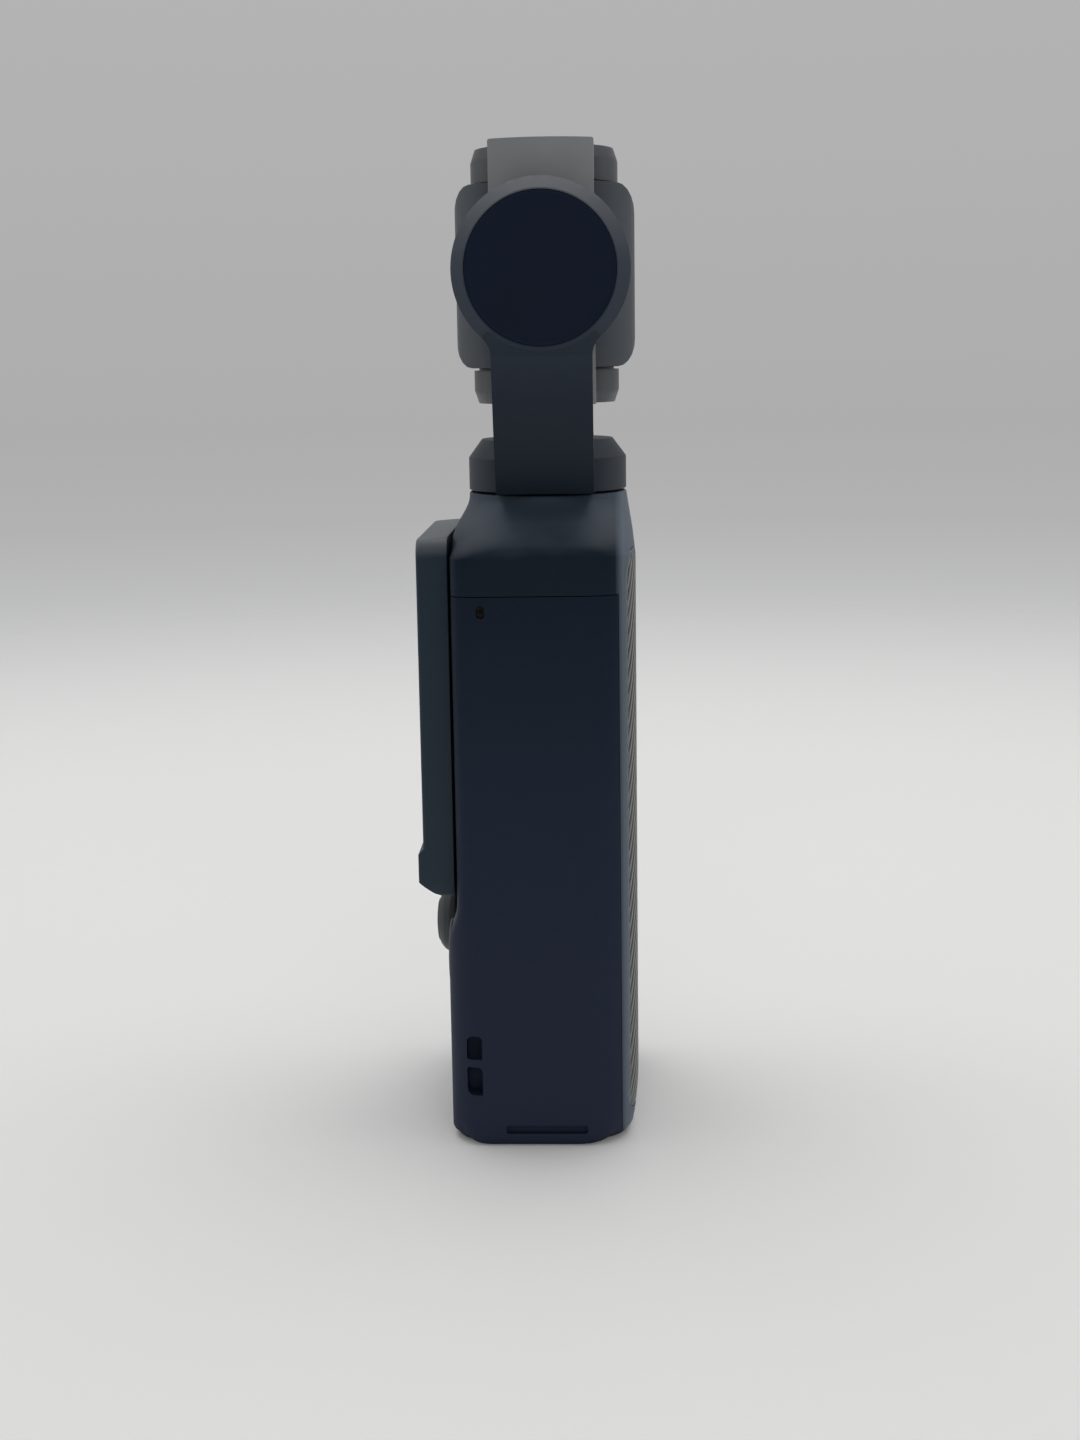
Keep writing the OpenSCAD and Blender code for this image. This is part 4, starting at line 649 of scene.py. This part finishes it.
def casing_ring(z):
    """The casing's outline at a height, drawn in towards the neck above the shoulder's foot"""
    ring = [casing_plan(x, y, min(z, SHOULDER_Z)) for x, y in FULL_PLAN]
    rise = max(0.0, z - SHOULDER_Z) / (NECK_Z - SHOULDER_Z)
    placed = []
    for x, y in ring:
        share = 1.0
        if rise > 0:
            angle, here = math.atan2(y, x), math.hypot(x, y)
            left = (here - shoulder_reach(angle, 0)) * (1 - share_between(0, 0.4, rise))
            share = (shoulder_reach(angle, rise) + left) / here
        placed.append((x * share, y * share, z))
    return placed


def round_ring(radius):
    """A circle on the neck's top, its points in line with the casing's"""
    return [(x * radius / math.hypot(x, y), y * radius / math.hypot(x, y), z)
            for x, y, z in casing_ring(NECK_Z)]


def casing_skin():
    """The whole casing's outside, open at the foot and around the neck's bore"""
    # The rows lie close together where the outline bends
    heights = [0, CHAMFER, 2.2, 3.2, 4.2, 5.5, 7, 8.5, 10, 11.5, 14, 18, 22, 25]
    heights += [STEP_LOW + (STEP_HIGH - STEP_LOW) * k / 16 for k in range(17)]
    heights += [41, 47, 53, 59, 65, 71, 77, 80, 82]
    heights += [SHOULDER_Z + SHOULDER_RISE * k / SHOULDER_ROWS for k in range(SHOULDER_ROWS + 1)]
    rings = [[(x, y, 0.0) for x, y in HOLE_PLAN]]
    rings += [casing_ring(z) for z in heights]
    rings += [round_ring(radius) for radius in (RING_R, 7.0, NECK_BORE)]
    skin = loft(rings, capped=False)
    middle = max(skin.faces, key=lambda face: face.calc_center_median().x)
    if middle.normal.x < 0:
        bmesh.ops.reverse_faces(skin, faces=skin.faces)
    return skin


def thin_end(point):
    """Whether a point lies at the foot's chamfer or close under the top"""
    return point.z < CHAMFER + 0.1 or point.z > NECK_Z - 0.9


def trimmed(skin, seam_z, seam_x, low):
    """The skin cut along both seams: its low part behind them, or the rest"""
    for place, across in [((0, 0, seam_z), (0, 0, 1)), ((seam_x, 0, 0), (1, 0, 0))]:
        bmesh.ops.bisect_plane(skin, geom=skin.verts[:] + skin.edges[:] + skin.faces[:],
                               dist=0.0001, plane_co=place, plane_no=across)
    gone = []
    for face in skin.faces:
        middle = face.calc_center_median()
        if (middle.z < seam_z and middle.x < seam_x) != low:
            gone.append(face)
    bmesh.ops.delete(skin, geom=gone, context="FACES")
    return skin


def hub_disc(radius, levels, sides=72):
    return stacked(round_outline((0, HUB_Z), radius, sides), "x", levels)


def seat_sweep():
    return hub_disc(30.2, [(-16, 0), (-12.95, 0)], 144)


def at_height(edge, z):
    return all(abs(vert.co.z - z) < 0.001 for vert in edge.verts)


def along_seam(edge):
    return all(abs(vert.co.z - SEAM_Z) < 0.1 or abs(vert.co.x - SEAM_X) < 0.1
               for vert in edge.verts)


def eased_seams(shape):
    """Rounds the foot, the top and both seams, and clears what is too small to matter"""
    ease_edges(shape, 0.45, least=8, steps=5, where=lambda edge: at_height(edge, CHAMFER))
    ease_edges(shape, 0.3, least=40, steps=3, where=lambda edge: at_height(edge, NECK_Z) and all(
        vert.co.xy.length > 10 for vert in edge.verts))
    ease_edges(shape, 0.12, least=60, where=along_seam)
    bmesh.ops.remove_doubles(shape, verts=shape.verts, dist=0.001)
    bmesh.ops.dissolve_degenerate(shape, dist=0.001, edges=shape.edges)
    return shape


def side_cut(low, high, radius, lip, start, deep, side):
    """A cutter into a side wall, from outside to a depth, its mouth widened by a small lip"""
    levels = ((HALF + 1, 1 + lip), (HALF, lip), (start, 0), (deep, 0))
    return stacked(box_outline(low, high, radius), "y", [(side * y, grown) for y, grown in levels])


def rear_casing():
    skin = trimmed(casing_skin(), SEAM_Z - SEAM / 2, SEAM_X - SEAM / 2, True)
    shape = eased_seams(walled(skin, WALL, lambda point: THIN_REAR if thin_end(point) else 1.0))
    # Rooms behind the lanyard eye and the latch slots
    blocks = [stacked(box_outline((-12.7, 6.85), (-9.1, 17.1), 0.5), "y",
                      [(1.14 - HALF, -0.4), (1.55 - HALF, 0), (3.7 - HALF, 0)])]
    blocks += [stacked(box_outline((-7.5, 1.65), (6.1, 4.0), 0.3), "y",
                       sorted([(side * (HALF - 0.6), 0), (side * (HALF - WALL - 1), 0)]))
               for side in (-1, 1)]
    shape = combined(shape, blocks, "UNION")
    # The screen's seat, and the lanyard eye: two pockets beside a bar, joined behind it
    cuts = [seat_sweep(),
            side_cut((-12.0, 7.55), (-9.8, 11.8), (1.0, 0.2, 0.8, 0.45), 0.12, 20.95, 18.1, -1),
            side_cut((-12.0, 12.9), (-9.8, 16.4), (0.25, 0.2, 0.7, 1.0), 0.12, 20.95, 18.1, -1),
            stacked(box_outline((-11.9, 7.65), (-9.9, 16.3), 0.9), "y", [(-19.6, 0), (-18.0, 0)])]
    # Latch slots and sound holes
    for side in (-1, 1):
        cuts.append(side_cut((-6.5, 1.8), (5.1, 3.0), 0.3, 0.1, 21.0, 20.2, side))
        cuts.append(side_cut((-9.35, 76.15), (-8.25, 77.85), 0.5, 0.08, 21.02, 19.0, side))
    # Card opening, screen hub, the two controls and the lamp
    cuts.append(stacked(box_outline((-8.65, 44.8), (-7.65, 56.2), 0.3), "y",
                        [(19.0, 0), (20.98, 0), (21.07, 0.09), (22.1, 1.12)]))
    cuts.append(hub_disc(5.15, [(-16, 0), (-10, 0)]))
    for y, radius in ((-KEY_Y, 5.1), (KEY_Y, 5.8)):
        cuts.append(stacked(round_outline((y, KEY_Z), radius), "x",
                            [(-16, 1.66), (-REAR, 0.2), (-14.34, 0), (-10, 0)]))
    cuts.append(stacked(round_outline((0, LAMP_Z), 0.85, 36), "x", [(-16, 0), (-10, 0)]))
    finish_piece("rear_casing", combined(shape, cuts), "handle", "case_plastic", ["rear_shell"])


# Ribbed grip, drawn flat: s runs across the front and round its corners, z is the height

GRIP_HALF, GRIP_LOW, GRIP_HIGH, GRIP_R = 18.93, 4.0, 85.1, 3.6
RIB_PITCH, RIB_SLOPE, RIB_DEPTH, RIB_LINES = 0.88, math.radians(71), 0.45, 9
SHEET_REACH = 50.0


def front_place(s, z, depth):
    """A point of the handle's front, at a depth under its face"""
    straight = HALF - FRONT_R
    over = abs(s) - straight
    if over <= 0:
        x, y = FRONT - depth, abs(s)
    else:
        turn = over / FRONT_R
        x = FRONT - FRONT_R + (FRONT_R - depth) * math.cos(turn)
        y = straight + (FRONT_R - depth) * math.sin(turn)
    return x + front_at(z) - FRONT, math.copysign(y, s), z


def panel_sheet(growth, across, along, slanted):
    """A flat sheet in the panel's outline, its grid laid along the ribs or upright"""
    sheet = bmesh.new()
    bmesh.ops.create_grid(sheet, x_segments=across, y_segments=along, size=1.0)
    middle = (GRIP_LOW + GRIP_HIGH) / 2
    run = Vector((math.cos(RIB_SLOPE), math.sin(RIB_SLOPE))) if slanted else Vector((0, 1))
    side = Vector((run.y, -run.x))
    for vert in sheet.verts:
        point = side * vert.co.x * SHEET_REACH + run * vert.co.y * SHEET_REACH
        vert.co = (point.x, point.y + middle, 0)
    half, low, high = GRIP_HALF + growth, GRIP_LOW - growth, GRIP_HIGH + growth
    corner = GRIP_R + growth
    planes = [((half, 0), 0), ((-half, 0), 180), ((0, high), 90), ((0, low), 270)]
    for side_x, side_z, first in ((1, 1, 0), (-1, 1, 90), (-1, -1, 180), (1, -1, 270)):
        centre = (side_x * (half - corner), (high if side_z > 0 else low) - side_z * corner)
        for step in range(1, 9):
            angle = first + step * 10
            planes.append(((centre[0] + corner * math.cos(math.radians(angle)),
                            centre[1] + corner * math.sin(math.radians(angle))), angle))
    for (s, z), angle in planes:
        outwards = (math.cos(math.radians(angle)), math.sin(math.radians(angle)), 0)
        bmesh.ops.bisect_plane(sheet, geom=sheet.verts[:] + sheet.edges[:] + sheet.faces[:],
                               dist=0.0001, plane_co=(s, z, 0), plane_no=outwards, clear_outer=True)
    return sheet


def border_gap(s, z):
    """Distance from the panel's rounded border"""
    ds = abs(s) - (GRIP_HALF - GRIP_R)
    dz = abs(z - (GRIP_LOW + GRIP_HIGH) / 2) - ((GRIP_HIGH - GRIP_LOW) / 2 - GRIP_R)
    return GRIP_R - math.hypot(max(ds, 0), max(dz, 0)) - min(max(ds, dz), 0)


def rib_drop(s, z):
    """How deep the grooves lie: round ribs that fade towards the border"""
    phase = (s * math.sin(RIB_SLOPE) - z * math.cos(RIB_SLOPE)) / RIB_PITCH % 1
    groove = share_between(0, 1, 2.2 - abs(phase - 0.5) * 7)
    return RIB_DEPTH * groove * share_between(0.7, 1.1, border_gap(s, z))


def bent_plate(sheet, front, back):
    """A flat sheet bent to the handle's front and given a thickness; front and back are depths"""
    groove = sheet.verts.layers.float.new("groove")
    border = sheet.verts.layers.float.new("border")
    made = bmesh.ops.extrude_face_region(sheet, geom=sheet.faces[:], use_keep_orig=True)["geom"]
    upper = {item for item in made if isinstance(item, bmesh.types.BMVert)}
    for vert in sheet.verts:
        s, z = vert.co.x, vert.co.y
        vert[groove] = rib_drop(s, z) / RIB_DEPTH
        vert[border] = 1 - share_between(0.6, 1.0, border_gap(s, z))
        vert.co = front_place(s, z, front(s, z) if vert in upper else back)
    bmesh.ops.recalc_face_normals(sheet, faces=sheet.faces)
    return sheet


def grip_face(s, z):
    """The ribbed face's depth, turned in along its edge"""
    edge = 1 - share_between(0.0, 0.3, border_gap(s, z))
    return 0.03 + rib_drop(s, z) + 0.12 * edge


def neck_share(point):
    """The share of the frame's wall at a point: full in front, where the grip lies in it"""
    if thin_end(point):
        return THIN_NECK
    return 1.0 if point.x > 9.5 else WALL / FRAME_WALL


def neck_casing():
    skin = trimmed(casing_skin(), SEAM_Z + SEAM / 2, SEAM_X + SEAM / 2, False)
    shape = eased_seams(walled(skin, FRAME_WALL, neck_share))
    seat = bent_plate(panel_sheet(0.05, 60, 40, False), lambda s, z: -0.6, GRIP_T + 0.05)
    finish_piece("neck_casing", combined(shape, [seat, seat_sweep()]), "handle",
                 "shoulder_plastic", ["neck_shell"])


def grip_cover():
    lines = round(2 * SHEET_REACH * RIB_LINES / RIB_PITCH)
    shape = bent_plate(panel_sheet(-0.06, lines, 90, True), grip_face, GRIP_T - 0.04)
    finish_piece("ribbed_grip", shape, "handle", "grip_plastic", ["grip_panel"], smooth=60,
                 weighted=False)


# Screen

SCREEN_HALF, SCREEN_LOW, SCREEN_HIGH, SCREEN_R = 16.7, 35.3, 86.8, 2.6
FACE_X, LIP_X, FACE_R = -17.9, -18.75, 0.7


def rounded_face(face, back, ease, round_r, steps=6):
    """Levels of a plate along X: a small ease at its back, and a round edge on its face"""
    levels = [(back, -ease), (back - ease * 0.3, -ease * 0.3), (back - ease, 0)]
    for step in range(steps + 1):
        angle = math.radians(90) * step / steps
        levels.append((face + round_r * (1 - math.sin(angle)), -round_r * (1 - math.cos(angle))))
    return levels


def side_prism(corners, half, steps=4):
    """A polygon in X and Z carried across the handle's width"""
    path = eased(corners, steps)
    return loft([[(x, y, z) for x, z in path] for y in (-half, half)])


def screen_case():
    outline = box_outline((-SCREEN_HALF, SCREEN_LOW), (SCREEN_HALF, SCREEN_HIGH), SCREEN_R, 10)
    body = stacked(outline, "x", rounded_face(FACE_X, -13.5, 0.15, FACE_R))
    lip = stacked(outline, "x", rounded_face(LIP_X, -13.9, 0.15, FACE_R))
    lip = combined(lip, [side_prism([(-12, 34, 0), (-18.6, 34, 0), (-18.6, 41.95, 0.45),
                                     (-17.2, 43.35, 0), (-12, 43.35, 0)], 20)], "INTERSECT")
    shape = combined(body, [lip], "UNION")
    # The lip's hollow below, the sloping top, the pane's rebate, its room, and the cable's room
    cuts = [side_prism([(-14.3, 34.1, 0), (-14.7, 35.1, 0), (-16.5, 36.1, 2.2), (-18.9, 38.1, 0),
                        (-21, 39.9, 0), (-21, 34.1, 0)], 21, 8),
            side_prism([(-13.3, 86.86, 0), (-18.1, 86.4, 0), (-19.5, 86.3, 0), (-19.5, 88, 0),
                        (-13.3, 88, 0)], 21),
            stacked(box_outline((-15.75, 43.45), (15.75, 85.85), 1.85), "x",
                    [(-19, 0), (-17.25, 0)]),
            stacked(box_outline((-15.2, 44), (15.2, 85.3), 1.3), "x", [(-17.5, 0), (-15.6, 0)]),
            stacked(box_outline((-14.7, 39.3), (14.7, 84.8), 1.8), "x", [(-15.8, 0), (-14.3, 0)]),
            hub_disc(5.05, [(-14.5, 0), (-13, 0)])]
    # Three screw holes around the hub
    for angle in (90, 210, 330):
        y, z = 6.3 * math.cos(math.radians(angle)), HUB_Z + 6.3 * math.sin(math.radians(angle))
        cuts.append(stacked(round_outline((y, z), 0.5, 24), "x", [(-14.5, 0), (-13.55, 0)]))
    finish_piece("screen_case", combined(shape, cuts), "screen", "screen_plastic",
                 ["screen_housing"])


def screen_pane():
    outline = box_outline((-15.7, 43.5), (15.7, 85.8), 1.8, 10)
    shape = stacked(outline, "x", [(-17.3, 0), (-17.75, 0), (-17.82, -0.03), (-17.87, -0.09),
                                   (FACE_X, -0.2)])
    finish_piece("screen_pane", shape, "screen", "screen_glass", ["screen_glass"])


# Controls

def record_cap():
    path = eased([(0, -0.2, 0), (3.3, -0.16, 0.4), (3.7, 0, 0.3), (5, 0, 0.3), (5, -1.99, 0.05),
                  (5.7, -1.99, 0.05), (5.7, -2.29, 0.05), (0, -2.29, 0)], 4)
    shape = turned(path, REARWARD, (-14.89, -KEY_Y, KEY_Z))
    finish_piece("record_cap", shape, "record_key", "button_plastic", ["record_button"])


def stick_cap():
    path = eased([(0, 3.16, 0), (1.7, 3.28, 1.2), (3.1, 3.1, 0.8), (3.45, 2.78, 0.3),
                  (3.75, 2.72, 0.3), (4.55, 2.1, 0.9), (5.2, 1.15, 0.8), (5.2, 0.35, 0.3),
                  (4.9, 0, 0.3), (1.9, 0, 0.1), (1.9, -2, 0.05), (2.3, -2, 0.05), (2.3, -4.2, 0.1),
                  (0, -4.2, 0)], 5)
    shape = turned(path, REARWARD, (-15.04, KEY_Y, KEY_Z))
    pin = turned([(0, -4.1), (0.4, -4.1), (0.45, -4.05), (0.45, 4.05), (0.4, 4.1), (0, 4.1)],
                 Z_AXIS, (-11.94, KEY_Y, KEY_Z), 32)
    finish_piece("stick_cap", combined(shape, [pin], "UNION"), "stick_top", "stick_plastic",
                 ["joystick_cap"])


# Gimbal

RING_Z, YOKE_LOW, YOKE_HIGH = 92.3, 104.55, 139.65
DISC_FACE, DISC_T = 5.15, 0.72
# A dark ring that fills the gap under the camera head with painted shade
GAP_SHADE_BORE, GAP_SHADE_R, GAP_SHADE_LOW, GAP_SHADE_HIGH = 4.6, 9.7, 109.14, 109.48


def pan_ring():
    path = eased([(0, 7.2, 0), (9.4, 7.2, 0.25), (11.33, 4.6, 0.35), (11.33, 0, 0.2),
                  (9.6, 0, 0.1), (9.6, 5.6, 0.1), (1.52, 5.6, 0), (1.52, 6.95, 0),
                  (0, 6.95, 0)], 4)
    shape = turned(path, Z_AXIS, (0, 0, RING_Z), 144)
    holes = [stacked(round_outline((x, -6.9), 0.5, 24), "z", [(98.0, 0), (99.45, 0), (99.8, 0.4)])
             for x in (-3.4, 3.4)]
    finish_piece("pan_ring", combined(shape, holes), "arm", "housing_paint", ["pan_housing"])


def roll_disc():
    path = eased([(0, 5.08, 0), (9.7, 5.08, 0.3), (9.85, DISC_FACE, 0.1), (10.08, DISC_FACE, 0.05),
                  (10.15, 5.1, 0.03), (10.15, DISC_FACE - DISC_T, 0),
                  (0, DISC_FACE - DISC_T, 0)], 3)
    shape = turned(path, (0, -1, 0), (0, YOKE_FACE_Y - DISC_T, ROLL_Z), 144)
    finish_piece("roll_disc", shape, "arm", "disc_black", ["roll_cover"])


def tilt_covers():
    low = eased([(0, 0.05, 0), (5.5, 0.05, 0), (5.6, 0.12, 0), (5.8, 0.12, 0), (5.9, 0.05, 0),
                 (6.4, 0.05, 0.15), (6.58, 0.25, 0.1), (6.58, 0.58, 0), (0, 0.58, 0)], 3)
    high = [(r, -h) for r, h in low]
    shape = gathered([turned(low, Z_AXIS, (0, TILT_Y, YOKE_LOW)),
                      turned(high, Z_AXIS, (0, TILT_Y, YOKE_HIGH))])
    finish_piece("tilt_covers", shape, "yoke", "yoke_paint", ["tilt_cover"])


def gap_shade_ring():
    """A dark ring on the yoke's lower end: painted shade that fills the gap under the camera head
    """
    path = eased([(GAP_SHADE_BORE, GAP_SHADE_LOW, 0), (GAP_SHADE_R, GAP_SHADE_LOW, 0), (GAP_SHADE_R, GAP_SHADE_HIGH, 0.08),
                  (GAP_SHADE_BORE, GAP_SHADE_HIGH, 0.08)], 3)
    finish_piece("gap_shade_ring", turned(path, Z_AXIS, (0, TILT_Y, 0)), "yoke", "barrel_black", [])


def lens_collar():
    path = eased([(9.2, 11.75, 0), (9.2, 13.6, 0.05), (9.05, 13.7, 0.05), (9.05, 14.0, 0.05),
                  (9.2, 14.1, 0.05), (9.2, 18.6, 0.45), (8.5, 18.6, 0.2), (7.95, 18.3, 0.1),
                  (7.45, 18.3, 0.05), (7.45, 17.55, 0.05), (6.6, 17.55, 0.1), (6.6, 1.3, 0),
                  (5.6, 1.3, 0), (5.6, 0.3, 0), (8, 0.3, 0.3), (8, 10.45, 0), (9.8, 10.45, 0.1),
                  (9.8, 11.75, 0.1)], 3)
    finish_piece("lens_collar", turned(path, Y_AXIS, (0, 0, LENS_Z), 144), "head",
                 "barrel_black", ["lens_barrel"])


def lens_glasses():
    """Four glasses, each (radius, rear, front, height of its crown)"""
    glasses = []
    for radius, low, high, crown in ((LENS_R, 17.6, 18.1, 0.2), (6.55, 12.6, 13.9, 0.5),
                                     (6.55, 8.8, 10.0, -0.35), (6.55, 4.6, 6.0, 0.3)):
        path = [(0, high + crown)]
        path += [(radius * k / 8, high + crown * (1 - (k / 8) ** 2)) for k in range(1, 8)]
        path += [(radius - 0.08, high), (radius, high - 0.08), (radius, low), (0, low)]
        glasses.append(turned(path, Y_AXIS, (0, 0, LENS_Z)))
    finish_piece("lens_glasses", gathered(glasses), "head", "lens_glass", ["lens_group"])


def yoke_corner(edge):
    """The two upright corners of the yoke's top"""
    return all(vert.co.z > 139.9 and abs(abs(vert.co.x) - 7.15) < 0.05 for vert in edge.verts)


def eased_copies():
    """Pieces whose CAD shape is right, given rounded edges"""
    for name, node, body, width, least in (
            ("leaning_arm", "pan_arm", "arm", 0.12, 30),
            ("yoke_frame", "yoke", "yoke", 0.25, 30),
            ("head_back", "head_rear_shell", "head", 0.25, 25),
            ("head_face", "head_front_shell", "head", 0.25, 25),
            ("foot_plate", "base_plate", "handle", 0.15, 40)):
        shape = merged_copy(node)
        if node == "yoke":
            ease_edges(shape, 0.6, 60, 4, yoke_corner)
        finish_piece(name, ease_edges(shape, width, least), body, SLOT_OF[node], [node])


for build in (rear_casing, neck_casing, grip_cover, screen_case, screen_pane, record_cap, stick_cap,
              pan_ring, roll_disc, tilt_covers, gap_shade_ring, lens_collar, lens_glasses,
              eased_copies):
    build()


# Stage: sizes are in metres

# A round floor whose rim fades out, so that no edge shows against the room
def studio_floor():
    sheet = bmesh.new()
    bmesh.ops.create_circle(sheet, cap_ends=True, segments=96, radius=1.0)
    floor = as_object("floor", sheet)
    finish, tree, place = start_finish("pale floor")
    end_finish(finish, {"Base Color": paint(244, 242, 240), "Roughness": 0.6,
                        "Specular IOR Level": 0.2})
    reach = add_node(tree, "ShaderNodeVectorMath", {0: place}, operation="LENGTH")
    fade = spread(tree, reach.outputs["Value"], 0, 1, 0.22, 0.75, "SMOOTHSTEP")
    clear = add_node(tree, "ShaderNodeBsdfTransparent", {})
    mix = add_node(tree, "ShaderNodeMixShader", {
        "Fac": fade, 1: tree.nodes["Principled BSDF"].outputs["BSDF"], 2: clear.outputs["BSDF"]})
    feed(tree, tree.nodes["Material Output"], {"Surface": mix.outputs["Shader"]})
    floor.data.materials.append(finish)


def larger(tree, first, second):
    return add_node(tree, "ShaderNodeMath", {0: first, 1: second}, operation="MAXIMUM").outputs[0]


# What the camera sees behind the floor, and the even light that the room gives
def studio_world():
    world = bpy.data.worlds.new("studio")
    scene.world = world
    world.use_nodes = True
    tree = world.node_tree
    tree.nodes.clear()
    parts = axes_of(tree, add_node(tree, "ShaderNodeTexCoord", {}).outputs["Generated"])
    wall = ramp(tree, spread(tree, parts["Z"], 0, 1, -0.25, 0.25), [
        (0.0, paint(214, 217, 216)), (0.1, paint(213, 216, 215)), (0.2, paint(198, 199, 199)),
        (0.33, paint(178, 178, 178)), (0.42, paint(173, 173, 173)), (1.0, paint(182, 182, 182))])
    # The room is darker on the camera's side
    seen = add_node(tree, "ShaderNodeBackground", {
        "Color": wall, "Strength": spread(tree, parts["Y"], 0.25, 1, -0.6, 0.25, "SMOOTHSTEP")})
    glow = add_node(tree, "ShaderNodeBackground", {"Color": (0.93, 0.97, 1.0, 1), "Strength": 0.3})
    ray = add_node(tree, "ShaderNodeLightPath", {}).outputs
    direct = larger(tree, larger(tree, ray["Is Camera Ray"], ray["Is Glossy Ray"]),
                    ray["Is Transmission Ray"])
    mix = add_node(tree, "ShaderNodeMixShader", {
        "Fac": direct, 1: glow.outputs[0], 2: seen.outputs[0]})
    add_node(tree, "ShaderNodeOutputWorld", {"Surface": mix.outputs[0]})


def soft_lamp(name, place, aim, wide, tall, power):
    lamp = bpy.data.lights.new(name, "AREA")
    lamp.shape = "RECTANGLE"
    lamp.size, lamp.size_y = wide, tall
    lamp.energy = power
    holder = bpy.data.objects.new(name, lamp)
    scene.collection.objects.link(holder)
    holder.location = place
    holder.rotation_mode = "QUATERNION"
    holder.rotation_quaternion = (Vector(aim) - Vector(place)).to_track_quat("-Z", "Y")


def photo_camera(place, yaw, pitch, roll, focal_mm):
    """The camera at the photo's place: yaw to the right, pitch downwards, roll clockwise"""
    lens = bpy.data.cameras.new("camera")
    lens.lens = focal_mm
    lens.sensor_width = 36
    lens.clip_start = 0.01
    holder = bpy.data.objects.new("camera", lens)
    scene.collection.objects.link(holder)
    forward = Vector((math.sin(yaw) * math.cos(pitch), math.cos(yaw) * math.cos(pitch),
                      -math.sin(pitch)))
    level = Vector((math.cos(yaw), -math.sin(yaw), 0))
    down = forward.cross(level)
    right = level * math.cos(roll) + down * math.sin(roll)
    lower = down * math.cos(roll) - level * math.sin(roll)
    turn = Matrix((right, -lower, -forward)).transposed()
    holder.matrix_world = Matrix.Translation(place) @ turn.to_4x4()
    scene.camera = holder


studio_floor()
studio_world()
soft_lamp("ceiling lamp", (0.0, 0.2, 0.8), (0, 0, 0.05), 1.0, 0.8, 4.4)
soft_lamp("left lamp", (-0.7, 0.15, 0.35), (0, 0, 0.08), 0.4, 0.8, 0.45)
soft_lamp("right lamp", (0.7, 0.15, 0.35), (0, 0, 0.08), 0.4, 0.8, 0.45)
soft_lamp("front lamp", (0.1, -0.85, 0.5), (0, 0, 0.1), 0.7, 0.5, 1.2)
photo_camera((0.009238, -0.283695, 0.112234), math.radians(-2.2), math.radians(10.8),
             math.radians(0.87), 48.75)
